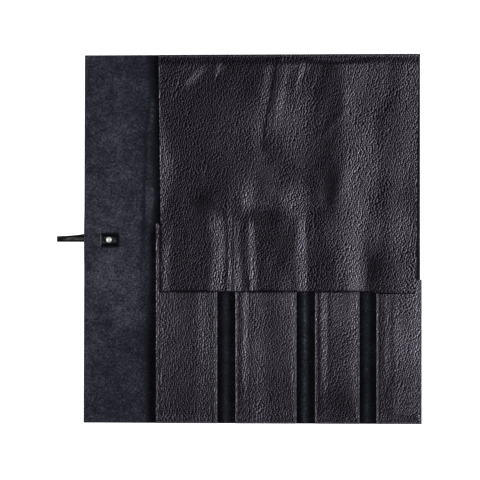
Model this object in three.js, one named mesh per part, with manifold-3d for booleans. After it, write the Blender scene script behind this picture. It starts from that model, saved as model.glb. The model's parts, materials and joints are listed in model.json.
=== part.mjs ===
// Leather knife roll, laid open with its suede side up, in millimetres, +Z up.
// One hide carries four sewn pockets and a flap that guards the knives' handles. The hide and the flap
// fold between the pockets, the bare wrap panel on the left closes over the rolled bays, and a strap
// riveted through the wrap panel ties the roll shut.

import * as THREE from 'three';
import { mergeVertices } from 'three/addons/utils/BufferGeometryUtils.js';
import Module from 'manifold-3d';

// Hide
const HIDE_LENGTH = 500;
const HIDE_THICK = 2;
const WRAP_WIDTH = 96.5;
const WRAP_FOLD_SETBACK = 7;

// Pockets, from left to right: two wide and tall, two narrow and short
const WIDE_POCKET_WIDTH = 84;
const NARROW_POCKET_WIDTH = 61.5;
const TALL_POCKET_HEIGHT = 271;
const SHORT_POCKET_HEIGHT = 195;
const WIDE_GAP = 23.3;
const NARROW_GAP = 21.8;
const POCKET_THICK = 1.6;
const POCKET_FLANGE = 5;
const POCKET_SHOULDER = 20;
const POCKET_TOE = 24;
const POCKET_BULGE = 6;

// Handle flap, sewn along the top edge
const FLAP_OVERLAP = 16.5;
const FLAP_THICK = 1.6;
const FLAP_LEFT_INSET = 4;
const FLAP_RIGHT_INSET = 4.5;
const FLAP_VALLEY = 4.2;
const FLAP_SHOULDER = 22;
const FLAP_EDGE_SHOULDER = 10;
const FLAP_RISE = 26;
const FLAP_DRAPE = 34;
const FLAP_EDGE_DROOP = 0.4;
const FLAP_OPEN_SLOPE = 0.2;
const HEM_DEPTH = 5;

// Folds that the flap keeps from being rolled
const PLEAT_START = 4;
const PLEAT_WIDTH = 16;
const PLEAT_HEIGHT = 1.6;
const PLEAT_SIDE = 4;
const PLEAT_RISE = 20;
const WRINKLE_HEIGHT = 2;
const WRINKLE_WIDTH = 9;
const LONG_WRINKLE = 142;
const SHORT_WRINKLE = 41;
const RIDGE_HEIGHT = 1.5;
const RIDGE_WIDTH = 15;
const RIDGE_SETBACK = 20;

// Stitching
const THREAD_WIDTH = 0.8;
const THREAD_HEIGHT = 0.6;
const STITCH_INSET = 2.5;

// Closing strap, its slit in the wrap panel and its rivet
const STRAP_WIDTH = 8;
const STRAP_THICK = 1.8;
const STRAP_LIFT = 3.9;
const STRAP_COVER = 3;
const STRAP_MARGIN = 4;
const LIFT_FALL = 30;
const COVER_FALL = 17;
const FOLD_SETTLE = 8;
const TAB_WIDTH = 13;
const TAB_REACH = 21.5;
const TAB_FOOT = 2;
const SLIT_SETBACK = 23.4;
const RIVET_SETBACK = 33;
const RIVET_CAP_DIAMETER = 9.5;
const RIVET_CAP_HEIGHT = 2;
const RIVET_POST_DIAMETER = 3.2;
const RIVET_BACK_DIAMETER = 8.5;
const RIVET_BACK_HEIGHT = 1;
const RIVET_SOCKET_DEPTH = 0.5;

// Space between touching pieces
const CLEAR = 0.3;

// Levels that the sizes above lead to
const hideTop = HIDE_THICK;
const pocketSeat = hideTop + CLEAR;
const pocketCrown = pocketSeat + POCKET_BULGE + POCKET_THICK;
const flapRoot = hideTop + CLEAR;
const flapCrown = pocketCrown + CLEAR;
const flapValley = hideTop + FLAP_VALLEY;
const flapEdge = pocketSeat + POCKET_THICK + CLEAR + FLAP_EDGE_DROOP;
const wrapLift = STRAP_LIFT + STRAP_THICK / 2 + CLEAR;

// Heights of the axes about which the bays fold and the flap lifts. The folds lie in the flap's valleys, and
// the flap's axis is high enough for the flap to clear the ground when it is thrown open.
const foldAxis = flapValley + FLAP_THICK / 2;
const flapHeight = flapCrown + FLAP_THICK + Math.max(PLEAT_HEIGHT, WRINKLE_HEIGHT, RIDGE_HEIGHT);
const liftAxis = flapHeight / 2;

// Places along X and Y
const pockets = [
  { width: WIDE_POCKET_WIDTH, height: TALL_POCKET_HEIGHT, gap: WIDE_GAP },
  { width: WIDE_POCKET_WIDTH, height: TALL_POCKET_HEIGHT, gap: WIDE_GAP },
  { width: NARROW_POCKET_WIDTH, height: SHORT_POCKET_HEIGHT, gap: NARROW_GAP },
  { width: NARROW_POCKET_WIDTH, height: SHORT_POCKET_HEIGHT, gap: 0 },
];
const hideWidth = pockets.reduce((sum, pocket) => sum + pocket.width + pocket.gap, WRAP_WIDTH);
const hideLeft = -hideWidth / 2;
const hideRight = hideWidth / 2;
const hideBottom = -HIDE_LENGTH / 2;
const hideTopEdge = HIDE_LENGTH / 2;
const wrapFold = hideLeft + WRAP_WIDTH - WRAP_FOLD_SETBACK;
const hemLine = hideTopEdge - HEM_DEPTH;
const liftLine = hemLine - CLEAR / 2;
const tallMouth = hideBottom + TALL_POCKET_HEIGHT;
const flapEnd = hideBottom + SHORT_POCKET_HEIGHT - FLAP_OVERLAP;

let edge = hideLeft + WRAP_WIDTH;
let foldBefore = wrapFold;
for (const pocket of pockets) {
  pocket.left = edge;
  pocket.right = edge + pocket.width;
  pocket.foldLeft = foldBefore;
  pocket.foldRight = pocket.gap > 0 ? pocket.right + pocket.gap / 2 : hideRight;
  edge = pocket.right + pocket.gap;
  foldBefore = pocket.foldRight;
}
const first = pockets[0];
const last = pockets[pockets.length - 1];

// Materials
const suede = { color: 0x2c2d34, roughness: 0.95, metalness: 0 };
const grain = { color: 0x34313a, roughness: 0.48, metalness: 0 };
const strapLeather = { color: 0x313132, roughness: 0.4, metalness: 0 };
const thread = { color: 0x1b1b20, roughness: 0.7, metalness: 0 };
const nickel = { color: 0xd6d5d0, roughness: 0.22, metalness: 1 };

const roll = new THREE.Group();

function place(name, geometry, look) {
  const mesh = new THREE.Mesh(geometry, new THREE.MeshStandardMaterial(look));
  mesh.name = name;
  roll.add(mesh);
  return mesh;
}

const wasm = await Module();
wasm.setup();

function solid(geometry) {
  const bare = geometry.clone();
  bare.deleteAttribute('normal');
  bare.deleteAttribute('uv');
  const merged = mergeVertices(bare, 1e-4);
  return new wasm.Manifold(new wasm.Mesh({
    numProp: 3,
    vertProperties: new Float32Array(merged.attributes.position.array),
    triVerts: new Uint32Array(merged.index.array),
  }));
}

function geometryOf(manifold) {
  const mesh = manifold.getMesh();
  const geometry = new THREE.BufferGeometry();
  geometry.setAttribute('position', new THREE.BufferAttribute(new Float32Array(mesh.vertProperties), 3));
  geometry.setIndex(new THREE.BufferAttribute(new Uint32Array(mesh.triVerts), 1));
  geometry.computeVertexNormals();
  return geometry;
}

function smooth(t) {
  const c = Math.min(Math.max(t, 0), 1);
  return c * c * (3 - 2 * c);
}

// Even division of a stretch into about one step per given length, both ends included.
function divide(from, to, step) {
  const count = Math.max(1, Math.round(Math.abs(to - from) / step));
  return Array.from({ length: count + 1 }, (_, i) => from + (to - from) * i / count);
}

// A piece of leather as a closed solid: its underside is a height over a grid, its top lies one thickness
// further out along the slope, and its left and right edges can be drawn in by an amount set by their height
// and their place along the edge.
const straight = () => 0;
function leather(xs, ys, under, thick, drawLeft = straight, drawRight = straight) {
  const columns = xs.length;
  const rows = ys.length;
  const count = columns * rows;
  const h = 0.05;
  const points = new Float32Array(count * 6);
  for (let j = 0; j < rows; j += 1) {
    for (let i = 0; i < columns; i += 1) {
      const x = xs[i];
      const y = ys[j];
      const z = under(x, y);
      const sx = (under(x + h, y) - under(x - h, y)) / (2 * h);
      const sy = (under(x, y + h) - under(x, y - h)) / (2 * h);
      const top = z + thick * Math.sqrt(1 + sx * sx + sy * sy);
      const draw = (height) => {
        if (i === 0) return drawLeft(height, y);
        return i === columns - 1 ? -drawRight(height, y) : 0;
      };
      const k = j * columns + i;
      points.set([x + draw(z), y, z], k * 3);
      points.set([x + draw(top), y, top], (count + k) * 3);
    }
  }
  const faces = [];
  const quad = (a, b, c, d) => faces.push(a, b, c, a, c, d);
  for (let j = 0; j < rows - 1; j += 1) {
    for (let i = 0; i < columns - 1; i += 1) {
      const k = j * columns + i;
      quad(k, k + columns, k + columns + 1, k + 1);
      quad(count + k, count + k + 1, count + k + columns + 1, count + k + columns);
    }
  }
  for (let i = 0; i < columns - 1; i += 1) {
    const far = (rows - 1) * columns + i;
    quad(i, i + 1, count + i + 1, count + i);
    quad(far + 1, far, count + far, count + far + 1);
  }
  for (let j = 0; j < rows - 1; j += 1) {
    const near = j * columns;
    const right = near + columns - 1;
    quad(near + columns, near, count + near, count + near + columns);
    quad(right, right + columns, count + right + columns, count + right);
  }
  const geometry = new THREE.BufferGeometry();
  geometry.setAttribute('position', new THREE.BufferAttribute(points, 3));
  geometry.setIndex(faces);
  geometry.computeVertexNormals();
  return geometry;
}

function block(x0, x1, y0, y1, z0, z1) {
  const geometry = new THREE.BoxGeometry(x1 - x0, y1 - y0, z1 - z0);
  geometry.translate((x0 + x1) / 2, (y0 + y1) / 2, (z0 + z1) / 2);
  return geometry;
}

function revolve(profile, segments, x, y) {
  const geometry = new THREE.LatheGeometry(profile.map(([r, z]) => new THREE.Vector2(r, z)), segments);
  geometry.rotateX(Math.PI / 2);
  geometry.translate(x, y, 0);
  return geometry;
}

// A flat band of thread, drawn as an outline on its seam and raised by its height.
function band(outline, z) {
  const shape = new THREE.Shape(outline.map(([x, y]) => new THREE.Vector2(x, y)));
  const geometry = new THREE.ExtrudeGeometry(shape, { depth: THREAD_HEIGHT, bevelEnabled: false });
  geometry.translate(0, 0, z);
  return geometry;
}

// Route of the strap's free length: out from the slit under the wrap panel, past the hide's edge, folded
// back beneath itself and laid away under the panel in one long loop. Its points are counted from the middle
// of the hide's left edge, and from the ground.
const strapStart = SLIT_SETBACK - STRAP_THICK / 2 - TAB_FOOT - CLEAR;
const strapRoute = [
  [strapStart, 0, STRAP_LIFT], [11, 0, STRAP_LIFT], [0, 0, STRAP_LIFT], [-12, 0, STRAP_LIFT],
  [-23, 0, STRAP_LIFT], [-31, 0, STRAP_LIFT], [-33.6, 0, STRAP_LIFT], [-34.7, 0, 3.45],
  [-35.1, 0, 2.45], [-34.7, 0, 1.45], [-33.6, 0, 1], [-31, 0.1, 1], [-23, 0.5, 1], [-12, 1.4, 1],
  [0, 3, 1], [13, 7, 1], [25, 13, 1], [38, 22, 1], [51, 34, 1], [61, 50, 1], [66.5, 70, 1],
  [68, 92, 1], [68, 116, 1], [68, 140, 1], [68, 164, 1], [68, 185, 1], [65, 195, 1],
  [59, 200, 1], [52, 202, 1], [45, 200, 1], [39, 195, 1], [36, 185, 1], [36, 164, 1],
  [36, 140, 1], [36, 116, 1], [36, 92, 1], [36, 75, 1],
].map(([x, y, z]) => new THREE.Vector3(hideLeft + x, y, z));

// Height of the wrap panel's underside: raised over the strap's two layers at the rivet, and over the
// single layer laid away beneath it, and flat on the ground elsewhere.
const tabEnd = hideLeft + SLIT_SETBACK + TAB_REACH;
const liftEnd = tabEnd + STRAP_MARGIN;
const liftFlat = TAB_WIDTH / 2 + STRAP_MARGIN;
const coverFlat = STRAP_WIDTH / 2 + STRAP_MARGIN;
const buried = strapRoute.slice(14);
const nearest = new THREE.Vector3();
function wrapUnder(x, y) {
  const alongX = Math.max(0, x - liftEnd);
  const alongY = Math.max(0, Math.abs(y) - liftFlat);
  const mound = wrapLift * smooth(1 - Math.hypot(alongX, alongY) / LIFT_FALL);
  const here = new THREE.Vector3(x, y, buried[0].z);
  let away = Infinity;
  for (let i = 1; i < buried.length; i += 1) {
    new THREE.Line3(buried[i - 1], buried[i]).closestPointToPoint(here, true, nearest);
    away = Math.min(away, nearest.distanceTo(here));
  }
  const cover = STRAP_COVER * smooth(1 - (away - coverFlat) / COVER_FALL);
  const settle = smooth((wrapFold - CLEAR / 2 - x) / FOLD_SETTLE);
  return Math.max(mound, cover) * settle;
}

// Wrap panel, with the slit for the strap and the hole for the rivet
const slit = hideLeft + SLIT_SETBACK;
const rivetX = hideLeft + RIVET_SETBACK;
const wrapRight = wrapFold - CLEAR / 2;
const liftFoot = -liftFlat - LIFT_FALL;
const wrapColumns = [...divide(hideLeft, liftEnd, 10), ...divide(liftEnd, wrapRight, 5.5).slice(1)];
const wrapRows = [
  ...divide(hideBottom, liftFoot, 70),
  ...divide(liftFoot, -liftFlat, 10).slice(1),
  ...divide(-liftFlat, liftFlat, 2 * liftFlat).slice(1),
  ...divide(liftFlat, hideTopEdge, 14).slice(1),
];
const slitHalf = TAB_WIDTH / 2 + CLEAR;
const slitReach = STRAP_THICK / 2 + CLEAR;
const postHole = RIVET_POST_DIAMETER / 2 + CLEAR;
const holeDrill = revolve([[0, -1], [postHole, -1], [postHole, 20], [0, 20]], 16, rivetX, 0);
const wrapSheet = solid(leather(wrapColumns, wrapRows, wrapUnder, HIDE_THICK))
  .subtract(solid(block(slit - slitReach, slit + slitReach, -slitHalf, slitHalf, -1, 20)))
  .subtract(solid(holeDrill));
place('wrap_panel', geometryOf(wrapSheet), suede);

// Back panels of the hide, one under each pocket, parted at the folds
pockets.forEach((pocket, index) => {
  const left = pocket.foldLeft + CLEAR / 2;
  const right = pocket === last ? hideRight : pocket.foldRight - CLEAR / 2;
  place(`back_panel_${index + 1}`, block(left, right, hideBottom, hideTopEdge, 0, hideTop), suede);
});

// Pockets: a flat sewn flange on three sides, shoulders that rise to a crown, and an open mouth
pockets.forEach((pocket, index) => {
  const mouth = hideBottom + pocket.height;
  const shoulder = (distance, length) => smooth((distance - POCKET_FLANGE) / length);
  const under = (x, y) => {
    const sides = shoulder(x - pocket.left, POCKET_SHOULDER) * shoulder(pocket.right - x, POCKET_SHOULDER);
    return pocketSeat + POCKET_BULGE * sides * shoulder(y - hideBottom, POCKET_TOE);
  };
  const inner = POCKET_FLANGE + POCKET_SHOULDER;
  const columns = [
    pocket.left,
    ...divide(pocket.left + POCKET_FLANGE, pocket.left + inner, 2.4),
    (pocket.left + pocket.right) / 2,
    ...divide(pocket.right - inner, pocket.right - POCKET_FLANGE, 2.4),
    pocket.right,
  ];
  const rows = [
    hideBottom,
    ...divide(hideBottom + POCKET_FLANGE, hideBottom + POCKET_FLANGE + POCKET_TOE, 4),
    mouth,
  ];
  place(`pocket_${index + 1}`, leather(columns, rows, under, POCKET_THICK), grain);

  const a = STITCH_INSET - THREAD_WIDTH / 2;
  const b = STITCH_INSET + THREAD_WIDTH / 2;
  const stitching = [
    [pocket.left + a, mouth], [pocket.left + a, hideBottom + a], [pocket.right - a, hideBottom + a],
    [pocket.right - a, mouth], [pocket.right - b, mouth], [pocket.right - b, hideBottom + b],
    [pocket.left + b, hideBottom + b], [pocket.left + b, mouth],
  ];
  place(`pocket_stitching_${index + 1}`, band(stitching, pocketSeat + POCKET_THICK + CLEAR), thread);
});

// Ridges that stand in the flap: each runs from one point to another and fades at both ends. Two wrinkles
// start from the hem beside the first two folds, and a soft ridge runs down beside the third.
const foldAfter = (index) => pockets[index].foldRight;
const wrinkle = { width: WRINKLE_WIDTH, height: WRINKLE_HEIGHT };
const softRidge = { width: RIDGE_WIDTH, height: RIDGE_HEIGHT };
const wrinkleTop = hemLine - HEM_DEPTH;
const ridgeLine = last.foldLeft - RIDGE_SETBACK;
const ridges = [
  { from: [foldAfter(1) - 21, wrinkleTop], to: [foldAfter(1) - 48, wrinkleTop - LONG_WRINKLE], ...wrinkle },
  { from: [foldAfter(0) - 18, wrinkleTop], to: [foldAfter(0) - 48, wrinkleTop - SHORT_WRINKLE], ...wrinkle },
  { from: [ridgeLine, wrinkleTop], to: [ridgeLine, flapEnd], ...softRidge },
];
function ridgeHeight(x, y) {
  let sum = 0;
  for (const { from, to, width, height } of ridges) {
    const dx = to[0] - from[0];
    const dy = to[1] - from[1];
    const span = Math.hypot(dx, dy);
    const along = ((x - from[0]) * dx + (y - from[1]) * dy) / (span * span);
    const across = ((x - from[0]) * dy - (y - from[1]) * dx) / span;
    const ends = smooth(along / 0.2) * smooth((1 - along) / 0.35);
    sum += height * ends * smooth(1 - Math.abs(across) / width);
  }
  return sum;
}

// A flat-topped pleat stands beside the first fold, from the pockets' mouths down to the flap's edge
function pleatHeight(x, y) {
  const start = foldAfter(0) + PLEAT_START;
  const sides = smooth((x - start) / PLEAT_SIDE) * smooth((start + PLEAT_WIDTH - x) / PLEAT_SIDE);
  return PLEAT_HEIGHT * sides * smooth((tallMouth - y) / PLEAT_RISE + 0.5);
}

// Handle flap in four bays that hinge at the hem and meet at the folds. The flap lies low from the hem down,
// climbs over the pockets' mouths and dips between the pockets. At a fold the bays are drawn back by as much
// as they stand above the fold's axis, with the flap closed and thrown open, so that neighbours can turn
// square to each other.
const openSlope = Math.sin(THREE.MathUtils.degToRad(FLAP_OPEN_SLOPE));
function foldRelief(z, y) {
  const thrownOpen = 2 * liftAxis - z + (liftLine - y) * openSlope;
  return CLEAR + Math.max(0, z - foldAxis, thrownOpen - foldAxis);
}
pockets.forEach((pocket, index) => {
  const openLeft = pocket === first;
  const openRight = pocket === last;
  const left = openLeft ? pocket.left + FLAP_LEFT_INSET : pocket.foldLeft;
  const right = openRight ? hideRight - FLAP_RIGHT_INSET : pocket.foldRight;
  const mouth = hideBottom + pocket.height;
  const shoulder = (distance, open) => smooth(distance / (open ? FLAP_EDGE_SHOULDER : FLAP_SHOULDER));
  const droop = (distance, open) => (open ? (flapEdge - flapValley) * (1 - shoulder(distance, open)) : 0);
  const root = hemLine - CLEAR;
  const under = (x, y) => {
    const t = Math.min(Math.max((root - y) / FLAP_RISE, 0), 1);
    const swell = 1 - (1 - t) * (1 - t);
    const over = smooth((mouth + FLAP_DRAPE - y) / FLAP_DRAPE);
    const dome = shoulder(x - left, openLeft) * shoulder(right - x, openRight) * over;
    const edges = droop(x - left, openLeft) + droop(right - x, openRight);
    const level = flapValley + (flapCrown - flapValley) * dome + edges;
    const inside = smooth((x - left - 2) / 5) * smooth((right - x - 2) / 5);
    const folds = (ridgeHeight(x, y) + pleatHeight(x, y)) * inside;
    return flapRoot + swell * (level - flapRoot) + folds;
  };
  const columns = divide(left, right, 6);
  const swellEnd = root - FLAP_RISE;
  const drapeEnd = mouth + FLAP_DRAPE;
  const rows = [
    ...divide(flapEnd, mouth, 23),
    ...divide(mouth, drapeEnd, 7).slice(1),
    ...divide(drapeEnd, swellEnd, 24).slice(1),
    ...divide(swellEnd, root, 7).slice(1),
  ];
  const drawLeft = openLeft ? straight : foldRelief;
  const drawRight = openRight ? straight : foldRelief;
  place(`flap_panel_${index + 1}`, leather(columns, rows, under, FLAP_THICK, drawLeft, drawRight), grain);

  const hemTop = flapRoot + FLAP_THICK;
  const hemLeft = openLeft ? left : left + CLEAR / 2;
  const hemRight = openRight ? right : right - CLEAR / 2;
  place(`flap_hem_${index + 1}`, block(hemLeft, hemRight, hemLine, hideTopEdge, flapRoot, hemTop), grain);
  const seam = hideTopEdge - STITCH_INSET;
  const row = [
    [hemLeft, seam - THREAD_WIDTH / 2], [hemRight, seam - THREAD_WIDTH / 2],
    [hemRight, seam + THREAD_WIDTH / 2], [hemLeft, seam + THREAD_WIDTH / 2],
  ];
  place(`hem_stitching_${index + 1}`, band(row, hemTop + CLEAR), thread);
});

// Strap tab: it lies inside on the wrap panel, turns down through the slit and ends under the hide
const tabSeat = wrapLift + HIDE_THICK + CLEAR;
const tabTop = tabSeat + STRAP_THICK;
const legLeft = slit - STRAP_THICK / 2;
const legRight = slit + STRAP_THICK / 2;
const footTop = STRAP_LIFT + STRAP_THICK / 2;
const footBottom = STRAP_LIFT - STRAP_THICK / 2;
const tabProfile = new THREE.Shape([
  [legLeft - TAB_FOOT, footBottom], [legRight, footBottom], [legRight, tabSeat], [tabEnd, tabSeat],
  [tabEnd, tabTop], [legLeft, tabTop], [legLeft, footTop], [legLeft - TAB_FOOT, footTop],
].map(([x, z]) => new THREE.Vector2(x, z)));
const tabSide = new THREE.ExtrudeGeometry(tabProfile, { depth: TAB_WIDTH, bevelEnabled: false });
tabSide.rotateX(Math.PI / 2);
tabSide.translate(0, TAB_WIDTH / 2, 0);
const tabOutline = new THREE.Shape();
const tabRound = TAB_WIDTH / 2;
tabOutline.moveTo(legLeft - TAB_FOOT - 1, -tabRound);
tabOutline.lineTo(tabEnd - tabRound, -tabRound);
tabOutline.absarc(tabEnd - tabRound, 0, tabRound, -Math.PI / 2, Math.PI / 2, false);
tabOutline.lineTo(legLeft - TAB_FOOT - 1, tabRound);
const tabPlan = new THREE.ExtrudeGeometry(tabOutline, { depth: 20, bevelEnabled: false, curveSegments: 14 });
const tab = solid(tabSide).intersect(solid(tabPlan)).subtract(solid(holeDrill));
place('strap_tab', geometryOf(tab), strapLeather);

// Strap: one flat length swept along its route. Each ring of the sweep stands square to the route, and its
// flat side is carried on from the ring before, so that the strap folds and turns without twisting.
const strapCurve = new THREE.CatmullRomCurve3(strapRoute, false, 'centripetal');
const strapSteps = 2 * (strapRoute.length - 1);
const halfWide = STRAP_WIDTH / 2;
const halfThick = STRAP_THICK / 2;
const corner = STRAP_THICK / 3;
const strapSection = [
  [halfWide - corner, halfThick], [halfWide, halfThick - corner], [halfWide, corner - halfThick],
  [halfWide - corner, -halfThick], [corner - halfWide, -halfThick], [-halfWide, corner - halfThick],
  [-halfWide, halfThick - corner], [corner - halfWide, halfThick],
];
function ribbon(curve, steps, section) {
  const flat = new THREE.Vector3(0, 0, 1);
  const side = new THREE.Vector3();
  const points = [];
  const faces = [];
  const sides = section.length;
  for (let i = 0; i <= steps; i += 1) {
    const at = curve.getPoint(i / steps);
    const tangent = curve.getTangent(i / steps);
    flat.addScaledVector(tangent, -flat.dot(tangent)).normalize();
    side.crossVectors(flat, tangent);
    for (const [wide, thick] of section) {
      points.push(at.clone().addScaledVector(side, wide).addScaledVector(flat, thick));
    }
  }
  for (let i = 0; i < steps; i += 1) {
    for (let k = 0; k < sides; k += 1) {
      const a = i * sides + k;
      const b = i * sides + (k + 1) % sides;
      faces.push(a, b + sides, b, a, a + sides, b + sides);
    }
  }
  const end = steps * sides;
  for (let k = 1; k < sides - 1; k += 1) {
    faces.push(0, k, k + 1, end, end + k + 1, end + k);
  }
  const geometry = new THREE.BufferGeometry().setFromPoints(points);
  geometry.setIndex(faces);
  geometry.computeVertexNormals();
  return geometry;
}
place('closure_strap', ribbon(strapCurve, strapSteps, strapSection), strapLeather);

// Rivet: a domed cap whose post goes through the tab and the hide into a flat back
const capRadius = RIVET_CAP_DIAMETER / 2;
const postRadius = RIVET_POST_DIAMETER / 2;
const capSeat = tabTop + CLEAR;
const backTop = wrapLift - CLEAR;
const backBottom = backTop - RIVET_BACK_HEIGHT;
const socketFloor = backTop - RIVET_SOCKET_DEPTH;
const rim = RIVET_CAP_HEIGHT / 4;
const dome = [0, 15, 30, 45, 60, 75].map((degrees) => {
  const angle = THREE.MathUtils.degToRad(degrees);
  return [capRadius * Math.cos(angle), capSeat + rim + (RIVET_CAP_HEIGHT - rim) * Math.sin(angle)];
});
const capProfile = [[0, socketFloor + CLEAR], [postRadius, socketFloor + CLEAR], [postRadius, capSeat],
  [capRadius, capSeat], ...dome, [0, capSeat + RIVET_CAP_HEIGHT]];
place('rivet_cap', revolve(capProfile, 24, rivetX, 0), nickel);
const backRadius = RIVET_BACK_DIAMETER / 2;
const backRound = RIVET_BACK_HEIGHT * 0.4;
const socketRadius = postRadius + CLEAR;
const backProfile = [[0, backBottom], [backRadius - backRound, backBottom],
  [backRadius, backBottom + backRound], [backRadius, backTop], [socketRadius, backTop],
  [socketRadius, socketFloor], [0, socketFloor]];
place('rivet_back', revolve(backProfile, 24, rivetX, 0), nickel);

export default roll;
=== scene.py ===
"""Leather knife roll, laid open with its suede side up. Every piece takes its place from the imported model,
and strays from it by a few millimetres at most, where the real leather does."""

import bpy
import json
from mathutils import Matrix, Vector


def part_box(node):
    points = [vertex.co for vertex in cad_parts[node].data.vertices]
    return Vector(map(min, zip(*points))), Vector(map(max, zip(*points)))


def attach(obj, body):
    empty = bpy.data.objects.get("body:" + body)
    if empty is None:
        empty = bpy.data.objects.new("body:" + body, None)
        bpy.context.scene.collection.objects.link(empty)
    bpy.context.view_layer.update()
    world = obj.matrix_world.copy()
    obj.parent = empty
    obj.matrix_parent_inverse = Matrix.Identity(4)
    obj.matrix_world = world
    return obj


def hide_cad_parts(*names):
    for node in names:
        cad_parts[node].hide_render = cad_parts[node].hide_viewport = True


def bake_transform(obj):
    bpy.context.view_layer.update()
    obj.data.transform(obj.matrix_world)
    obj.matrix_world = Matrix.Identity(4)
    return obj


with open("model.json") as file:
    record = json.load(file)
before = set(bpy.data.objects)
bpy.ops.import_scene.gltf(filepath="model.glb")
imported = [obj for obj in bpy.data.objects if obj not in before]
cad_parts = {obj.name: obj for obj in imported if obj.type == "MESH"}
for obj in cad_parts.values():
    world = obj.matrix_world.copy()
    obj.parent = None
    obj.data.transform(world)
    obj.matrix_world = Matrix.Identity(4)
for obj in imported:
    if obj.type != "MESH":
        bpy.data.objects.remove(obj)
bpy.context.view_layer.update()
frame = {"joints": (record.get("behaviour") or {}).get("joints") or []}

import json

import bpy
import numpy as np

# HIDE
# One rectangle of black cowhide, 2 mm thick, suede side up, grain side on the ground, with plain cut edges.
# It carries every other piece. It is parted under the middle of three pockets, where it stays flat, and
# each part of it crosses one fold line, where its grid is finest.
MM = 0.001
HIDE_THICK = 2.0
# Grid lines beside a cut edge, how far the edge and the first of them draw in, as a share of the thickness,
# and how far off on the leather the underside's pattern is taken.
EDGE_RINGS = (0.35, 1.0)
EDGE_EASE = (0.36, 0.1)
UNDERSIDE_OFFSET = (0.61, 0.37, 0.0)


def corners(node):
    """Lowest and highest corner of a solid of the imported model, in millimetres."""
    return [np.array(corner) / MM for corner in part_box(node)]


def smooth(t):
    """Eases from 0 to 1: three squares less two cubes of t, with t held between 0 and 1."""
    t = np.clip(t, 0.0, 1.0)
    return t * t * (3.0 - 2.0 * t)


def bell(off, reach):
    """Falls from 1 towards 0 on both sides of 0: the exponential of minus the square of off over reach."""
    return np.exp(-(off / reach) ** 2)


def joined(*runs):
    """Several runs of grid lines as one, in order and each line once."""
    return np.unique(np.concatenate(runs))


def lines(start, end, step, cut_start=False, cut_end=False):
    """Grid lines from start to end, about one step apart. A cut end has two more close to it, for its
    rounded edge."""
    even = np.linspace(start, end, int(round((end - start) / step)) + 1)
    near = [start + d for d in EDGE_RINGS] if cut_start else []
    far = [end - d for d in EDGE_RINGS] if cut_end else []
    return joined(even, near, far)


def new_finish(name):
    """An empty finish: its material, its node tree and its surface shader."""
    made = bpy.data.materials.new(name)
    made.use_nodes = True
    return made, made.node_tree, made.node_tree.nodes["Principled BSDF"]


def put(tree, kind, wires=None, **settings):
    """One node. Its settings are plain properties, and its wires are sockets with a value or another node's
    socket."""
    node = tree.nodes.new("ShaderNode" + kind)
    for key, value in settings.items():
        setattr(node, key, value)
    wire(tree, node, wires or {})
    return node


def wire(tree, node, wires):
    """Sets a node's sockets: another node's socket is linked, and a plain value is typed in."""
    for key, value in wires.items():
        if isinstance(value, bpy.types.NodeSocket):
            tree.links.new(value, node.inputs[key])
        else:
            node.inputs[key].default_value = value


def clouds(tree, where, size, detail=3.0, rough=0.55, twist=0.0):
    """Soft noise whose clouds are about size millimetres across, from 0 to 1."""
    wires = {"Vector": where, "Scale": 1.0 / (size * MM), "Detail": detail, "Roughness": rough,
             "Distortion": twist}
    return put(tree, "TexNoise", wires)


def marked(tree, name):
    """What a piece's own attribute says at each point: cut is a place on the leather, the others amounts."""
    return put(tree, "Attribute", attribute_name=name).outputs["Vector" if name == "cut" else "Fac"]


def reckon(tree, way, a, b=0.0, c=0.0):
    """One sum on up to three values."""
    return put(tree, "Math", {0: a, 1: b, 2: c}, operation=way).outputs[0]


def spread(tree, value, low, high, to_low=0.0, to_high=1.0):
    """A value carried smoothly from the span low to high onto the span to_low to to_high."""
    wires = {"Value": value, "From Min": low, "From Max": high, "To Min": to_low, "To Max": to_high}
    return put(tree, "MapRange", wires, interpolation_type="SMOOTHSTEP").outputs[0]


def tint(tree, value, stops):
    """A colour read off a ramp of (place, colour) stops."""
    node = put(tree, "ValToRGB", {"Fac": value})
    marks = node.color_ramp.elements
    while len(marks) < len(stops):
        marks.new(0.5)
    for mark, (place, colour) in zip(marks, stops):
        mark.position = place
        mark.color = (*colour, 1.0)
    return node.outputs["Color"]


def relief(tree, height, strength, reach):
    """A bumped surface whose height counts for reach millimetres."""
    wires = {"Strength": strength, "Distance": reach * MM, "Height": height}
    return put(tree, "Bump", wires).outputs["Normal"]


# Sizes of the suede's clouds in millimetres, their shares in its tone, and the colours of its tones.
BRUSHED_SIZE, NAP_SIZE, FIBRE_SIZE = 42.0, 11.0, 2.5
BRUSHED_SHARE, NAP_SHARE, FIBRE_SHARE, SUEDE_BASE = 0.2, 0.22, 0.46, 0.06
NAP_HEIGHT = 0.6
SUEDE_COLOURS = [(0.1, (0.0008, 0.0008, 0.0014)), (0.4, (0.009, 0.0093, 0.0136)),
                 (0.5, (0.0194, 0.0202, 0.0278)), (0.64, (0.059, 0.0606, 0.0735)), (0.95, (0.2, 0.2, 0.23))]


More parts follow.
